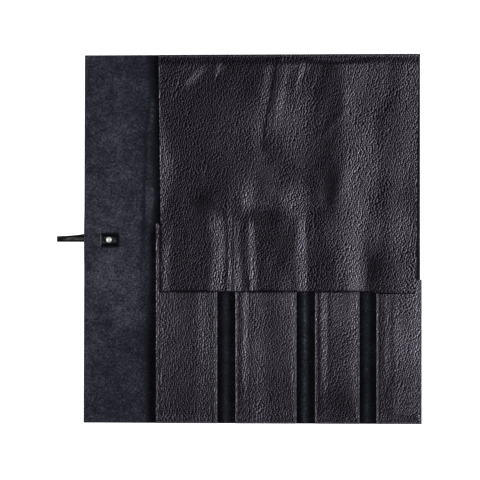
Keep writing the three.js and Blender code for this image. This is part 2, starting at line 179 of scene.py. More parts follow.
def suede_finish():
    """Suede: a matt nap with brushed clouds of two sizes, and fibres that break up both colour and surface.
    Its tone is lowered by painted shade beside and under the flap, between the pockets, along the fold and
    round the tab."""
    made, tree, skin = new_finish("suede")
    cut = marked(tree, "cut")
    tone = marked(tree, "tone")
    brushed = clouds(tree, cut, BRUSHED_SIZE, 2.0, 0.5, 0.3).outputs[0]
    nap = clouds(tree, cut, NAP_SIZE, 2.0, 0.6, 0.4).outputs[0]
    fibre = clouds(tree, cut, FIBRE_SIZE, 1.0, 0.7, 0.5).outputs[0]
    mixed = reckon(tree, "MULTIPLY_ADD", brushed, BRUSHED_SHARE, tone)
    mixed = reckon(tree, "MULTIPLY_ADD", nap, NAP_SHARE, mixed)
    mixed = reckon(tree, "MULTIPLY_ADD", fibre, FIBRE_SHARE, reckon(tree, "ADD", mixed, SUEDE_BASE))
    colour = tint(tree, mixed, SUEDE_COLOURS)
    bump = relief(tree, reckon(tree, "MULTIPLY_ADD", nap, NAP_HEIGHT, fibre), 0.8, 0.9)
    wire(tree, skin, {"Base Color": colour, "Normal": bump, "Roughness": 0.95, "Specular IOR Level": 0.05,
                      "Sheen Weight": 0.02, "Sheen Roughness": 0.5, "Sheen Tint": (0.55, 0.6, 0.75, 1.0)})
    return made


# Pebbles and the finer creases on them. They stray in clouds of two sizes in millimetres, each with a reach
# in metres, and the gloss, painted onto the right side of each pebble as if lit from there, sets in across
# each pebble from one place off its middle to another.
PEBBLES_PER_METRE, CHIPS_PER_METRE, PEBBLE_RANDOM = 365.0, 760.0, 0.75
PEBBLE_STRETCH = (1.03, 1.0, 1.0)
STRAYS = ((60.0, 0.016), (6.0, 0.0018))
LIT_FROM, LIT_FULL = -0.0001, 0.0009
# How far a pebble and a chip slope down to their creases, and how high chips and pores are beside a pebble.
PEBBLE_SLOPE, CHIP_SLOPE, CHIP_HEIGHT, PORE_HEIGHT = 0.42, 0.24, 0.06, 0.03
# Sizes in millimetres of the pores and of the patches of deeper dye, and the colours of the dye and of wear.
# The colour also darkens towards each pebble's creases, as painted shade, and the colour of wear also
# serves painted highlights.
PORE_SIZE, PATCH_SIZE, PATCH_SHARE, CREASE_SHADE_OFFSET = 0.45, 42.0, 0.3, 0.15
DYE_AND_CREASE_SHADE_COLOURS = [(0.0, (0.001, 0.0008, 0.0013)), (0.9, (0.0056, 0.0044, 0.0072))]
WORN_AND_HIGHLIGHT_COLOUR = (0.13, 0.12, 0.135, 1.0)
# Shine in the creases, kept low as painted shade, and where it comes back beside them, shine of the pebbles,
# how far they differ, what evenness takes from them, and the gain where they are rubbed, which also dulls
# them where shade is painted; then the roughness.
CREASE_SHINE, SHINE_FROM, SHINE_FULL = 0.1, 0.03, 0.23
PEBBLE_SHINE, PEBBLE_VARIES, EVEN_LOSS, POLISH_GAIN = 1.55, 1.15, 1.2, 0.95
ROUGH_BASE, ROUGH_PATCH, ROUGH_POLISH, ROUGH_LEAST = 0.285, 0.06, 0.1, 0.2


def grain_finish(name, depth, even):
    """Grain leather: pebbles depth millimetres high, parted by creases darkened with painted shade, each a
    little higher or lower in gloss, with finer creases and pores on them. Only the right sides of the pebbles
    take the gloss, a painted light from that side, and the creases take little, as painted shade; even, from
    0 to 1, shares the gloss out more evenly. Its tone is higher where it is worn pale and where a highlight
    is painted, and its polish where it is rubbed; its polish is lower where it is dull and where shade is
    painted."""
    made, tree, skin = new_finish(name)
    cut = marked(tree, "cut")
    tone = marked(tree, "tone")
    rubbed_and_shaded = marked(tree, "polish")
    drawn = cut
    for size, reach in STRAYS:
        cloud = clouds(tree, cut, size, 1.0).outputs["Color"]
        stray = put(tree, "VectorMath", {0: cloud, 1: (0.5, 0.5, 0.5)}, operation="SUBTRACT").outputs[0]
        lost = put(tree, "VectorMath", {0: stray, "Scale": reach}, operation="SCALE").outputs[0]
        drawn = put(tree, "VectorMath", {0: drawn, 1: lost}, operation="ADD").outputs[0]
    where = put(tree, "VectorMath", {0: drawn, 1: PEBBLE_STRETCH}, operation="MULTIPLY").outputs[0]
    cells = {"Vector": where, "Scale": PEBBLES_PER_METRE, "Randomness": PEBBLE_RANDOM}
    large = put(tree, "TexVoronoi", cells, voronoi_dimensions="2D",
                feature="DISTANCE_TO_EDGE").outputs["Distance"]
    nearest = put(tree, "TexVoronoi", cells, voronoi_dimensions="2D", feature="F1")
    off = put(tree, "VectorMath", {0: where, 1: nearest.outputs["Position"]}, operation="SUBTRACT").outputs[0]
    # Painted light: only the right side of each pebble takes the gloss, as if lit from that side.
    painted_lit_side = spread(tree, put(tree, "SeparateXYZ", {"Vector": off}).outputs["X"], LIT_FROM, LIT_FULL, even)
    small = put(tree, "TexVoronoi", {"Vector": where, "Scale": CHIPS_PER_METRE, "Randomness": 1.0},
                voronoi_dimensions="2D", feature="DISTANCE_TO_EDGE").outputs["Distance"]
    wires = {"Value": large, "From Min": 0.0, "From Max": PEBBLE_SLOPE, "To Min": 1.0, "To Max": 0.0}
    inward = put(tree, "MapRange", wires).outputs[0]
    pebble = reckon(tree, "MULTIPLY_ADD", inward, reckon(tree, "MULTIPLY", inward, -1.0), 1.0)
    chip = spread(tree, small, 0.0, CHIP_SLOPE)
    pore = clouds(tree, cut, PORE_SIZE, 2.0).outputs[0]
    height = reckon(tree, "MULTIPLY_ADD", chip, CHIP_HEIGHT, pebble)
    height = reckon(tree, "MULTIPLY_ADD", pore, PORE_HEIGHT, height)
    patch = clouds(tree, cut, PATCH_SIZE, 3.0).outputs[0]
    # Painted shade: the colour darkens towards each pebble's creases.
    shade = reckon(tree, "MULTIPLY_ADD", patch, PATCH_SHARE, reckon(tree, "SUBTRACT", pebble, CREASE_SHADE_OFFSET))
    wires = {"Factor": tone, "A": tint(tree, shade, DYE_AND_CREASE_SHADE_COLOURS), "B": WORN_AND_HIGHLIGHT_COLOUR}
    colour = put(tree, "Mix", wires, data_type="RGBA").outputs["Result"]
    # Painted shade: the creases keep little gloss.
    in_crease = CREASE_SHINE + (1.0 - CREASE_SHINE) * even
    crown = reckon(tree, "MULTIPLY", spread(tree, large, SHINE_FROM, SHINE_FULL, in_crease, 1.0), painted_lit_side)
    share = reckon(tree, "MULTIPLY_ADD", nearest.outputs["Color"], PEBBLE_VARIES - PEBBLE_VARIES * even,
                   PEBBLE_SHINE - EVEN_LOSS * even)
    # The polish raises the gloss where rubbed, and dulls it to nothing where shade is painted.
    rubbed = reckon(tree, "MULTIPLY_ADD", rubbed_and_shaded, POLISH_GAIN, 1.0)
    shine = reckon(tree, "MULTIPLY", reckon(tree, "MULTIPLY", crown, share), rubbed)
    rough = reckon(tree, "MULTIPLY_ADD", patch, ROUGH_PATCH, ROUGH_BASE)
    rough = reckon(tree, "MAXIMUM", reckon(tree, "MULTIPLY_ADD", rubbed_and_shaded, ROUGH_POLISH, rough), ROUGH_LEAST)
    bump = relief(tree, height, 1.0, depth)
    wire(tree, skin, {"Base Color": colour, "Normal": bump, "Roughness": rough, "Specular IOR Level": shine,
                      "Specular Tint": (1.0, 0.92, 1.12, 1.0)})
    return made


EDGE_FIBRE_SIZE = 1.1
EDGE_COLOURS = [(0.3, (0.012, 0.012, 0.014)), (0.7, (0.045, 0.044, 0.048))]


def edge_finish():
    """Cut edge of the leather: matt packed fibres."""
    made, tree, skin = new_finish("cut_edge")
    cut = marked(tree, "cut")
    fibre = clouds(tree, cut, EDGE_FIBRE_SIZE, 4.0, 0.7).outputs[0]
    wire(tree, skin, {"Base Color": tint(tree, fibre, EDGE_COLOURS), "Normal": relief(tree, fibre, 0.6, 0.3),
                      "Roughness": 0.7, "Specular IOR Level": 0.3})
    return made


suede = suede_finish()
outer_grain = grain_finish("outer_grain", 0.05, 0.4)
cut_edge = edge_finish()


def new_mesh(name, points, faces, rounded):
    """A mesh of points in millimetres. Rounded says of each face whether it is shaded as part of a curve."""
    mesh = bpy.data.meshes.new(name)
    mesh.from_pydata(points * MM, [], faces)
    mesh.polygons.foreach_set("use_smooth", rounded)
    return mesh


def leather_piece(name, x, y, top, thick, skins, cut_sides, tone=None, polish=None, slant=0.0):
    """A closed piece of leather over a grid of plan places x, y. Its upper side is at the height top, and
    its underside lies one thickness down, square to the upper side. At its cut sides (left, right, near,
    far) both draw in towards the middle of the leather over two narrow rings, which rounds the edge. The
    first skin is the upper side's, the second the underside's, and the third the edge's. The grain runs
    slant degrees to the right of straight up."""
    rows, columns = x.shape
    upper = np.stack([x, y, top], axis=-1)
    square = np.cross(np.gradient(upper, axis=1), np.gradient(upper, axis=0))
    square /= np.linalg.norm(square, axis=-1, keepdims=True)
    left, right, near, far = cut_sides
    across, along = np.zeros(columns), np.zeros(rows)
    across[:2] += np.array(EDGE_EASE) * left
    across[-2:] += np.array(EDGE_EASE[::-1]) * right
    along[:2] += np.array(EDGE_EASE) * near
    along[-2:] += np.array(EDGE_EASE[::-1]) * far
    ease = np.maximum(along[:, None], across[None, :])[..., None] * thick
    lower = upper - square * (thick - ease)
    upper = upper - square * ease
    count = rows * columns
    at = np.arange(count).reshape(rows, columns)
    a, b, c, d = at[:-1, :-1], at[:-1, 1:], at[1:, 1:], at[1:, :-1]
    faces = [np.stack([a, b, c, d], -1).reshape(-1, 4)]
    faces.append(faces[0][:, ::-1] + count)
    rim = np.concatenate([at[0, :-1], at[:-1, -1], at[-1, :0:-1], at[:0:-1, 0]])
    after = np.roll(rim, -1)
    faces.append(np.stack([after, rim, rim + count, after + count], -1))
    points = np.concatenate([upper.reshape(-1, 3), lower.reshape(-1, 3)])
    sides = np.repeat([0, 1, 2], [len(part) for part in faces]).astype(np.int32)
    mesh = new_mesh(name, points, np.concatenate(faces), sides < 2)
    mesh.polygons.foreach_set("material_index", sides)
    mesh.attributes.new("sharp_edge", "BOOLEAN", "EDGE")
    ends = np.empty(2 * len(mesh.edges), np.int32)
    mesh.edges.foreach_get("vertices", ends)
    on_rim = np.zeros(2 * count, bool)
    on_rim[rim] = on_rim[rim + count] = True
    mesh.edges.foreach_set("use_edge_sharp", on_rim[ends].reshape(-1, 2).all(1))
    lean_x, lean_y = np.cos(np.radians(slant)), np.sin(np.radians(slant))
    plan = np.stack([x * lean_x - y * lean_y, x * lean_y + y * lean_x, 0.0 * x], -1).reshape(-1, 3) * MM
    write(mesh, "cut", "FLOAT_VECTOR", "vector", np.concatenate([plan, plan + UNDERSIDE_OFFSET]))
    for mark, value in (("tone", tone), ("polish", polish)):
        value = np.zeros(count) if value is None else value.ravel()
        write(mesh, mark, "FLOAT", "value", np.concatenate([value, 0.0 * value]))
    return shown(name, mesh, skins)


def write(mesh, name, kind, field, values):
    """Gives every point of a mesh a value of its own."""
    mesh.attributes.new(name, kind, "POINT").data.foreach_set(field, values.astype(np.float32).ravel())


def shown(name, mesh, skins):
    """Puts a finished mesh in the scene, with its skins."""
    mesh.update()
    for skin in skins:
        mesh.materials.append(skin)
    made = bpy.data.objects.new(name, mesh)
    bpy.context.collection.objects.link(made)
    return made


joint_at = {joint["name"]: np.array(joint["pos_m"]) / MM for joint in frame["joints"]}
hide_left, hide_bottom, _ = corners("wrap_panel")[0]
hide_right, hide_top_edge, _ = corners("back_panel_4")[1]
pocket_box = [corners(f"pocket_{k}") for k in (1, 2, 3, 4)]
wrap_edge = pocket_box[0][0][0]
wrap_fold = joint_at["wrap_fold"][0]
gap_folds = [joint_at[name][0] for name in ("bay_1_roll", "bay_3_roll", "bay_4_roll")]

EDGE_LEAN = 0.9
HIDE_FLARE = 0.0041
HIDE_STRETCH = 0.0013


def as_cut(x, y):
    """Where a point of the plan lies on the real hide, which is not quite true: it lengthens evenly from
    left to right, and its left edge leans out at the bottom."""
    lean = EDGE_LEAN * y / hide_top_edge * smooth((wrap_edge - x) / (wrap_edge - hide_left))
    return x + lean, y * (1.0 + HIDE_STRETCH + HIDE_FLARE * x / hide_right)


# The strap's free length runs out under the hide's left edge, doubles back beneath itself and lies in one
# long loop under the wrap panel. These points lie along its middle, from the middle of the hide's left
# edge, in millimetres.
STRAP_LIFT = 3.9
STRAP_ROUTE = np.array([
    (20.2, 0, STRAP_LIFT), (11, 0, STRAP_LIFT), (0, 0, STRAP_LIFT), (-12, 0, STRAP_LIFT),
    (-23, 0, STRAP_LIFT), (-31, 0, STRAP_LIFT), (-34.6, 0, STRAP_LIFT), (-35.7, 0, 3.45),
    (-36.1, 0, 2.45), (-35.7, 0, 1.45), (-34.6, 0, 1), (-31, 0.1, 1), (-23, 0.5, 1), (-12, 1.4, 1),
    (0, 3, 1), (13, 7, 1), (25, 13, 1), (38, 22, 1), (51, 34, 1), (61, 50, 1), (66.5, 70, 1), (68, 92, 1),
    (68, 116, 1), (68, 140, 1), (68, 164, 1), (68, 185, 1), (65, 195, 1), (59, 200, 1), (52, 202, 1),
    (45, 200, 1), (39, 195, 1), (36, 185, 1), (36, 164, 1), (36, 140, 1), (36, 116, 1), (36, 92, 1),
    (36, 75, 1),
]) + (hide_left, 0.0, 0.0)
BURIED_FROM = 14
TAB_END = corners("strap_tab")[1][0]
# The mound over the rivet and the bank over the buried strap: height, how far it is flat, and its fall.
LIFT, LIFT_FLAT, LIFT_FALL, LIFT_MARGIN = 5.1, 10.5, 30.0, 4.0
COVER, COVER_FLAT, COVER_FALL, FOLD_SETTLE = 3.0, 8.0, 17.0, 8.0


def away_from(route, x, y):
    """Distance in plan from each point to the nearest leg of a route."""
    nearest = np.full(np.shape(x), np.inf)
    for start, end in zip(route[:-1, :2], route[1:, :2]):
        leg = end - start
        share = np.clip(((x - start[0]) * leg[0] + (y - start[1]) * leg[1]) / (leg @ leg), 0.0, 1.0)
        nearest = np.minimum(nearest, np.hypot(x - start[0] - share * leg[0], y - start[1] - share * leg[1]))
    return nearest


def ridge(x, y, line, left, right):
    """A ridge along a line of points (x, y, height), or a groove where the height is below 0. It eases to
    nothing over left millimetres on one side and right on the other."""
    line_x, line_y, high = np.array(sorted(line, key=lambda point: point[1]), float).T
    off = x - np.interp(y, line_y, line_x)
    return np.interp(y, line_y, high) * smooth(1.0 - np.abs(off) / np.where(off < 0.0, left, right))


# The roll and the crease beside the wrap fold: points (place across, place up the hide, height), and the
# reach to the left and to the right.
FOLD_ROLL = [(-141.5, -250, 0.5), (-141, 20, 0.7), (-140.5, 110, 1.0), (-141, 250, 0.5)]
FOLD_CREASE = [(-149, -250, -0.1), (-149, 20, -0.3), (-148, 110, -0.45), (-149, 250, -0.2)]
ROLL_REACH, CREASE_REACH = (6.5, 5.0), (5.0, 4.0)
FOLD_CLEAR = 0.15


def hide_top(x, y):
    """Height of the suede side: raised by a mound over the rivet and by a low bank over the buried strap,
    which both settle before the wrap fold, with a roll and a crease beside that fold, and flat
    elsewhere."""
    along_x = np.maximum(0.0, x - TAB_END - LIFT_MARGIN)
    along_y = np.maximum(0.0, np.abs(y) - LIFT_FLAT)
    mound = LIFT * smooth(1.0 - np.hypot(along_x, along_y) / LIFT_FALL)
    from_strap = away_from(STRAP_ROUTE[BURIED_FROM:], x, y)
    cover = COVER * smooth(1.0 - (from_strap - COVER_FLAT) / COVER_FALL)
    settle = smooth((wrap_fold - FOLD_CLEAR - x) / FOLD_SETTLE)
    beside_fold = ridge(x, y, FOLD_ROLL, *ROLL_REACH) + ridge(x, y, FOLD_CREASE, *CREASE_REACH)
    return HIDE_THICK + np.maximum(mound, cover) * settle + np.maximum(beside_fold, 0.0)


# Where the painted shade beside the flap and the first pocket begins: place up the hide, start and end of
# the drop. It darkens the suede under the flap and between the pockets. Most of it is regained at the hide's
# right edge.
SHADE_DROP = -0.36
SHADE_EDGE = [(-250, -147, -136), (-110, -147, -135), (-60, -142, -133), (8, -142, -133), (24, -140, -127),
            (60, -136, -126), (100, -140, -126), (185, -136, -127), (215, -147, -127), (250, -148, -127)]
REGAINED, REGAIN_FROM, REGAIN_OVER = 0.8, 220.0, 3.0
# Painted shade along the crease and wider painted shade beside the fold: points (place across, place up the
# hide, loss of tone).
FOLD_LINE_SHADE = [
    (-148.6, -50, 0), (-148.6, -6, -0.04), (-147.2, 29, -0.13), (-147, 59, -0.12), (-144.5, 99, -0.1),
    (-144.5, 140, -0.08), (-139.5, 181, -0.09), (-138, 215, 0),
]
NAP_SHADE = [(-146, -250, -0.05), (-146, -20, -0.07), (-145, 12, -0.05), (-145, 32, -0.03), (-146, 60, 0),
             (-150, 80, 0), (-150, 140, -0.035), (-148, 181, -0.01), (-148, 215, 0)]
FOLD_LINE_SHADE_REACH, NAP_SHADE_REACH = 4.0, 14.0
# A brushed patch on the wrap panel, and the slow loss of tone towards the bottom and the top of the hide.
PATCH_X, PATCH_Y, PATCH_WIDE, PATCH_HIGH, PATCH_GAIN = -188.0, -45.0, 40.0, 60.0, 0.035
BOTTOM_FROM, BOTTOM_OVER, BOTTOM_LOSS = -100.0, 30.0, 0.022
TOP_FROM, TOP_OVER, TOP_LOSS = 90.0, 60.0, 0.015
# The paler middle of each gap between the pockets, where the painted shade between them eases.
NAP_MIDDLE, NAP_MIDDLE_REACH = (0.29, 0.37, 0.27), 7.5
# The darker halo round the strap's tab, painted shadow together with the pressed nap, which lies right of
# its slit and below the middle, and the slit's pale edge.
SLIT_INSET, TAB_AHEAD, TAB_SHIFT = 3.7, 10.5, -1.5
TAB_SHADE_WIDE, TAB_SHADE_HIGH, TAB_SHADE_REACH, TAB_SHADE_LOSS = 11.0, 7.6, 2.2, 0.36
SLIT_LIP, SLIT_HALF, SLIT_FADE, SLIT_PALE, SLIT_PALE_REACH = 1.0, 7.5, 1.5, 0.4, 0.6
slit = corners("strap_tab")[0][0] + SLIT_INSET


def hide_tone(x, y):
    """Tone of the nap: full on the wrap panel, and lower beyond its drop, which is painted shade beside and
    under the flap and between the pockets. The painted shade along the crease and beside the fold, the
    brushed patch, the losses at the bottom and the top and the middles of the gaps are added to it, each
    fading out smoothly, and then the bell-shaped halo of painted shadow round the tab and the slit's edge."""
    up_hide, starts, ends = np.array(SHADE_EDGE, float).T
    start, end = np.interp(y, up_hide, starts), np.interp(y, up_hide, ends)
    kept = 1.0 - REGAINED * smooth((x - REGAIN_FROM) / REGAIN_OVER)
    # Painted shade beside and under the flap and between the pockets.
    tone = SHADE_DROP * smooth((x - start) / (end - start)) * kept
    # Painted shade along the fold's crease and beside the fold.
    tone = tone + ridge(x, y, FOLD_LINE_SHADE, FOLD_LINE_SHADE_REACH, FOLD_LINE_SHADE_REACH)
    tone = tone + ridge(x, y, NAP_SHADE, NAP_SHADE_REACH, NAP_SHADE_REACH)
    tone = tone + PATCH_GAIN * bell(x - PATCH_X, PATCH_WIDE) * bell(y - PATCH_Y, PATCH_HIGH)
    tone = tone - BOTTOM_LOSS * smooth((BOTTOM_FROM - y) / BOTTOM_OVER)
    tone = tone - TOP_LOSS * smooth((y - TOP_FROM) / TOP_OVER)
    # The painted shade between the pockets eases in the middle of each gap.
    for fold, middle in zip(gap_folds, NAP_MIDDLE):
        tone = tone + middle * smooth(1.0 - np.abs(x - fold) / NAP_MIDDLE_REACH)
    off_x, off_y = np.abs(x - slit - TAB_AHEAD), np.abs(y - TAB_SHIFT)
    beside = np.hypot(np.maximum(off_x - TAB_SHADE_WIDE, 0.0), np.maximum(off_y - TAB_SHADE_HIGH, 0.0))
    past_lip = x - slit + SLIT_LIP
    # Painted shadow round the tab, with its pressed nap.
    tone = tone - TAB_SHADE_LOSS * bell(beside, TAB_SHADE_REACH) * smooth(past_lip / SLIT_FADE)
    pale = SLIT_PALE * bell(past_lip, SLIT_PALE_REACH)
    return tone + pale * smooth((SLIT_HALF - off_y) / SLIT_FADE)


# Steps of the hide's grid: wide, finer on the wrap panel, and finest at a fold, beside the slit and in the
# tab's rows.
WIDE_STEP, WRAP_STEP, FOLD_STEP, SLIT_STEP, ROW_STEP, TAB_ROW_STEP = 6.0, 2.5, 0.8, 0.6, 4.0, 1.0
FOLD_STRIP, SLIT_LEFT, SLIT_RIGHT, TAB_BOTTOM, TAB_TOP = 8.0, 4.0, 26.0, -14.0, 12.0
hide_rows = joined(lines(hide_bottom, TAB_BOTTOM, ROW_STEP, cut_start=True),
                   lines(TAB_BOTTOM, TAB_TOP, TAB_ROW_STEP),
                   lines(TAB_TOP, hide_top_edge, ROW_STEP, cut_end=True))
pocket_middles = [(low[0] + high[0]) / 2 for low, high in pocket_box]
# Each part of the hide: its name, its ends, the fold that it crosses, half of the bend there, the bodies on
# both sides and the solids that it stands for.
hide_parts = [
    ("hide_left", hide_left, pocket_middles[0], wrap_fold, 3.2, "wrap", "bay_1", ("wrap_panel",)),
    ("hide_mid_left", pocket_middles[0], pocket_middles[1], gap_folds[0], 5.2, "bay_1", "bay_2",
     ("back_panel_1",)),
    ("hide_mid_right", pocket_middles[1], pocket_middles[2], gap_folds[1], 5.2, "bay_2", "bay_3",
     ("back_panel_2",)),
    ("hide_right", pocket_middles[2], hide_right, gap_folds[2], 5.2, "bay_3", "bay_4",
     ("back_panel_3", "back_panel_4")),
]
for name, start, end, fold, half_bend, body, next_body, solids in hide_parts:
    first, last = start == hide_left, end == hide_right
    columns = joined(lines(slit - SLIT_LEFT, slit + SLIT_RIGHT, SLIT_STEP) if first else [],
                     lines(start, fold - FOLD_STRIP, WRAP_STEP if first else WIDE_STEP, cut_start=first),
                     lines(fold - FOLD_STRIP, fold + FOLD_STRIP, FOLD_STEP),
                     lines(fold + FOLD_STRIP, end, WIDE_STEP, cut_end=last))
    x, y = np.meshgrid(columns, hide_rows)
    part = leather_piece(name, *as_cut(x, y), hide_top(x, y), HIDE_THICK, (suede, outer_grain, cut_edge),
                         (first, last, True, True), hide_tone(x, y))
    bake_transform(part)
    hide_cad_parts(*solids)

# POCKETS
# Four separate pockets of the same grain leather, sewn down on three sides and open at the top: two wide
# and tall, two narrow and short. Each has a flat sewn margin, and beyond a pulled-down seam it swells to a
# low crown.
POCKET_THICK = 1.6
POCKET_MARGIN = 5.0
TOE_FROM, TOE_LENGTH, TOE_SHARE, SLACK_LENGTH = 4.0, 9.0, 0.4, 80.0
SEAM_INSET, SEAM_DEPTH, SEAM_WIDTH = 2.5, 0.35, 1.1
STITCH_PITCH, STITCH_PULL = 4.0, 0.25
SECTION_SOFT = 1.2
# Section of each pocket above its margin: points (place from its left edge, height).
POCKET_SECTIONS = [
    [(0, 0), (5, 0), (10, 0.5), (30, 1.7), (52, 2.6), (57, 2.5), (75, 0.8), (79.5, 0.5), (81, 0), (84, 0)],
    [(0, 0), (5, 0), (10.5, 0.3), (18, 2.1), (24, 2.6), (45, 2.9), (62, 2.6), (79, 2.0), (81, 0), (84, 0)],
    [(0, 0), (4, 0), (8, 0.3), (19, 2.9), (23, 3.1), (50, 2.2), (57, 1.4), (58.5, 0), (61.5, 0)],
    [(0, 0), (5, 0), (11, 0.3), (22, 2.9), (26, 3.2), (44, 2.8), (49, 2.5), (56, 1.8), (58.5, 0), (61.5, 0)],
]
# How far each pocket is rubbed all over, and further along one strip: how far, its middle from the left
# edge and half its width.
POCKET_RUBBED = [(0.27, 0.3, 62, 14), (0.25, 0.8, 33, 18), (-0.06, 0.4, 16, 12), (0.26, 0.35, 30, 14)]


def swell(x, y, waves):
    """Slow unevenness of about one millimetre in all: a sum of plane waves (length, heading, start,
    height)."""
    total = 0.0 * x
    for length, heading, start, high in waves:
        along = x * np.cos(heading) + y * np.sin(heading)
        total = total + high * np.sin(along * 2.0 * np.pi / length + start)
    return total


SOFTEN_STEP = 0.25


def softened(points, x, soft):
    """Heights along a line of points (place, height), its corners eased by a bell-shaped mean about soft
    wide."""
    place, high = np.array(points, float).T
    fine = np.arange(place[0], place[-1], SOFTEN_STEP)
    bell = np.exp(-0.5 * (np.arange(-3.0 * soft, 3.0 * soft + 0.1, SOFTEN_STEP) / soft) ** 2)
    pad = len(bell) // 2
    level = np.pad(np.interp(fine, place, high), pad, mode="edge")
    return np.interp(x, fine, np.convolve(level, bell / bell.sum(), "same")[pad:-pad])


# How far each pocket's left and right edges lie to the right of their marks.
POCKET_SHIFTS = [(1.1, 0.0), (1.5, 0.0), (2.2, 0.7), (2.2, 2.0)]
SHIFT_FADE = 25.0


def as_sewn(k):
    """Where pocket k lies on the real hide: its edges are shifted from their marks, less and less towards
    its middle."""
    low, high = pocket_box[k - 1]
    left, right = POCKET_SHIFTS[k - 1]

    def placed(x, y):
        from_left, from_right = x - low[0], high[0] - x
        shift = left * smooth(1.0 - from_left / SHIFT_FADE) + right * smooth(1.0 - from_right / SHIFT_FADE)
        return as_cut(x + shift, y)

    return placed


def pocket_top(x, y, low, high, section):
    """Height of a pocket's grain side: the margin's level, plus its section, which is eased in over a toe
    at the bottom and comes to its full height higher up, plus a slow unevenness, less a furrow along the
    seam that is deeper once in each stitch's length."""
    left, right, toe = x - low[0], high[0] - x, y - low[1]
    slack = TOE_SHARE + (1.0 - TOE_SHARE) * smooth((toe - POCKET_MARGIN) / SLACK_LENGTH)
    full = smooth((toe - TOE_FROM) / TOE_LENGTH) * slack
    lift = softened(section, left, SECTION_SOFT) * full
    rough = swell(x, y, [(61.0, 0.3, 1.0, 0.14), (83.0, 1.3, low[0], 0.18), (37.0, 2.2, 2.0, 0.08)])
    rough = rough * np.clip(lift, 0.0, 1.0)
    inset = np.minimum(np.minimum(left, right), toe)
    run = np.where(toe < np.minimum(left, right), x, y)
    pull = 1.0 - STITCH_PULL + STITCH_PULL * np.cos(2.0 * np.pi * run / STITCH_PITCH)
    furrow = SEAM_DEPTH * pull * bell(inset - SEAM_INSET, SEAM_WIDTH)
    return low[2] + POCKET_THICK + lift + rough - furrow


pocket_grain = grain_finish("pocket_grain", 0.06, 0.04)
# How many degrees each pocket's grain leans, and how strong the painted highlight along its left and right
# edges is, and how far in it reaches.
POCKET_SLANTS = (4.0, 8.0, 22.0, 22.0)
EDGE_HIGHLIGHT_LEFT, EDGE_HIGHLIGHT_RIGHT, PALE_REACH = (0.3, 0.7, 0.7, 0.7), 0.65, 0.9
# Gloss, place and reach of the dull line inside the seam, of the rubbed toe, and of the painted shadow under
# the flap's end, made by dulling the gloss there.
DULL_GLOSS, DULL_AT, DULL_REACH = -0.5, 4.8, 1.1
TOE_GLOSS, TOE_AT, TOE_REACH = 0.6, 8.0, 4.0
FLAP_SHADOW_GLOSS, FLAP_SHADOW_AT, FLAP_SHADOW_REACH = -0.85, 0.5, 2.2
FLAP_SHADOW_LEFT, FLAP_SHADOW_RIGHT, FLAP_SHADOW_FADE = 1.0, 1.5, 2.0
# The outer part of a pocket has a finer grid.
POCKET_RIM, RIM_STEP, ACROSS_STEP, UP_STEP = 7.0, 0.5, 1.5, 1.33
flap_left, flap_end, flap_root = corners("flap_panel_1")[0]
flap_right = corners("flap_panel_4")[1][0]
pockets = zip(pocket_box, POCKET_SECTIONS, POCKET_RUBBED, EDGE_HIGHLIGHT_LEFT, POCKET_SLANTS)
for k, ((low, high), section, rubs, highlight_left, slant) in enumerate(pockets, 1):
    rubbed, strip_rubbed, strip_at, strip_half = rubs
    columns = joined(lines(low[0], low[0] + POCKET_RIM, RIM_STEP, cut_start=True),
                     lines(low[0] + POCKET_RIM, high[0] - POCKET_RIM, ACROSS_STEP),
                     lines(high[0] - POCKET_RIM, high[0], RIM_STEP, cut_end=True))
    rows = joined(lines(low[1], low[1] + POCKET_RIM, RIM_STEP, cut_start=True),
                  lines(low[1] + POCKET_RIM, high[1], UP_STEP, cut_end=True))
    x, y = np.meshgrid(columns, rows)
    top = pocket_top(x, y, low, high, section)
    from_side = np.minimum(x - low[0], high[0] - x)
    # Painted highlight along the pocket's cut edges.
    pale = np.where(x < (low[0] + high[0]) / 2, highlight_left, EDGE_HIGHLIGHT_RIGHT)
    tone = pale * np.exp(-np.minimum(from_side, y - low[1]) / PALE_REACH)
    polish = rubbed + strip_rubbed * smooth(1.0 - np.abs(x - low[0] - strip_at) / strip_half)
    polish = polish - (polish - DULL_GLOSS) * bell(from_side - DULL_AT, DULL_REACH)
    polish = polish + TOE_GLOSS * bell(y - low[1] - TOE_AT, TOE_REACH)
    # Painted shadow under the flap's end: the gloss is dulled there.
    covered = smooth((x - flap_left + FLAP_SHADOW_LEFT) / FLAP_SHADOW_FADE)
    covered = covered * smooth((flap_right - FLAP_SHADOW_RIGHT - x) / FLAP_SHADOW_FADE)
    below = np.clip(flap_end - y + FLAP_SHADOW_AT, 0.0, None)
    polish = polish - (polish - FLAP_SHADOW_GLOSS) * covered * bell(below, FLAP_SHADOW_REACH)
    part = leather_piece(f"pocket_leather_{k}", *as_sewn(k)(x, y), top, POCKET_THICK,
                         (pocket_grain, suede, cut_edge), (True, True, True, True), tone, polish, slant)
    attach(part, f"bay_{k}")
    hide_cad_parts(f"pocket_{k}")

# POCKET SEAMS
# A row of lockstitch in waxed black thread runs down one side of each pocket, along the bottom and up the
# other side. Each stitch is a short strand that dives into the leather at both ends.
THREAD_WIDTH, THREAD_RISE, THREAD_SUNK = 0.9, 0.62, 0.45
STITCH_LENGTH = 3.5
MOUTH_INSET, SEAM_BED = 1.0, 0.6
THREAD_COLOURS = [(0.2, (0.008, 0.008, 0.0095)), (0.8, (0.03, 0.029, 0.033))]
PLIES_PER_METRE = 900.0


def thread_finish():
    """Waxed thread: near black, with fine twisted plies that run across each strand."""
    made, tree, skin = new_finish("thread")
    cut = marked(tree, "cut")
    ply = put(tree, "TexWave", {"Vector": cut, "Scale": PLIES_PER_METRE, "Distortion": 1.5, "Detail": 2.0},
              bands_direction="DIAGONAL").outputs[1]
    wire(tree, skin, {"Base Color": tint(tree, ply, THREAD_COLOURS), "Normal": relief(tree, ply, 0.5, 0.15),
                      "Roughness": 0.5, "Specular IOR Level": 0.4})
    return made


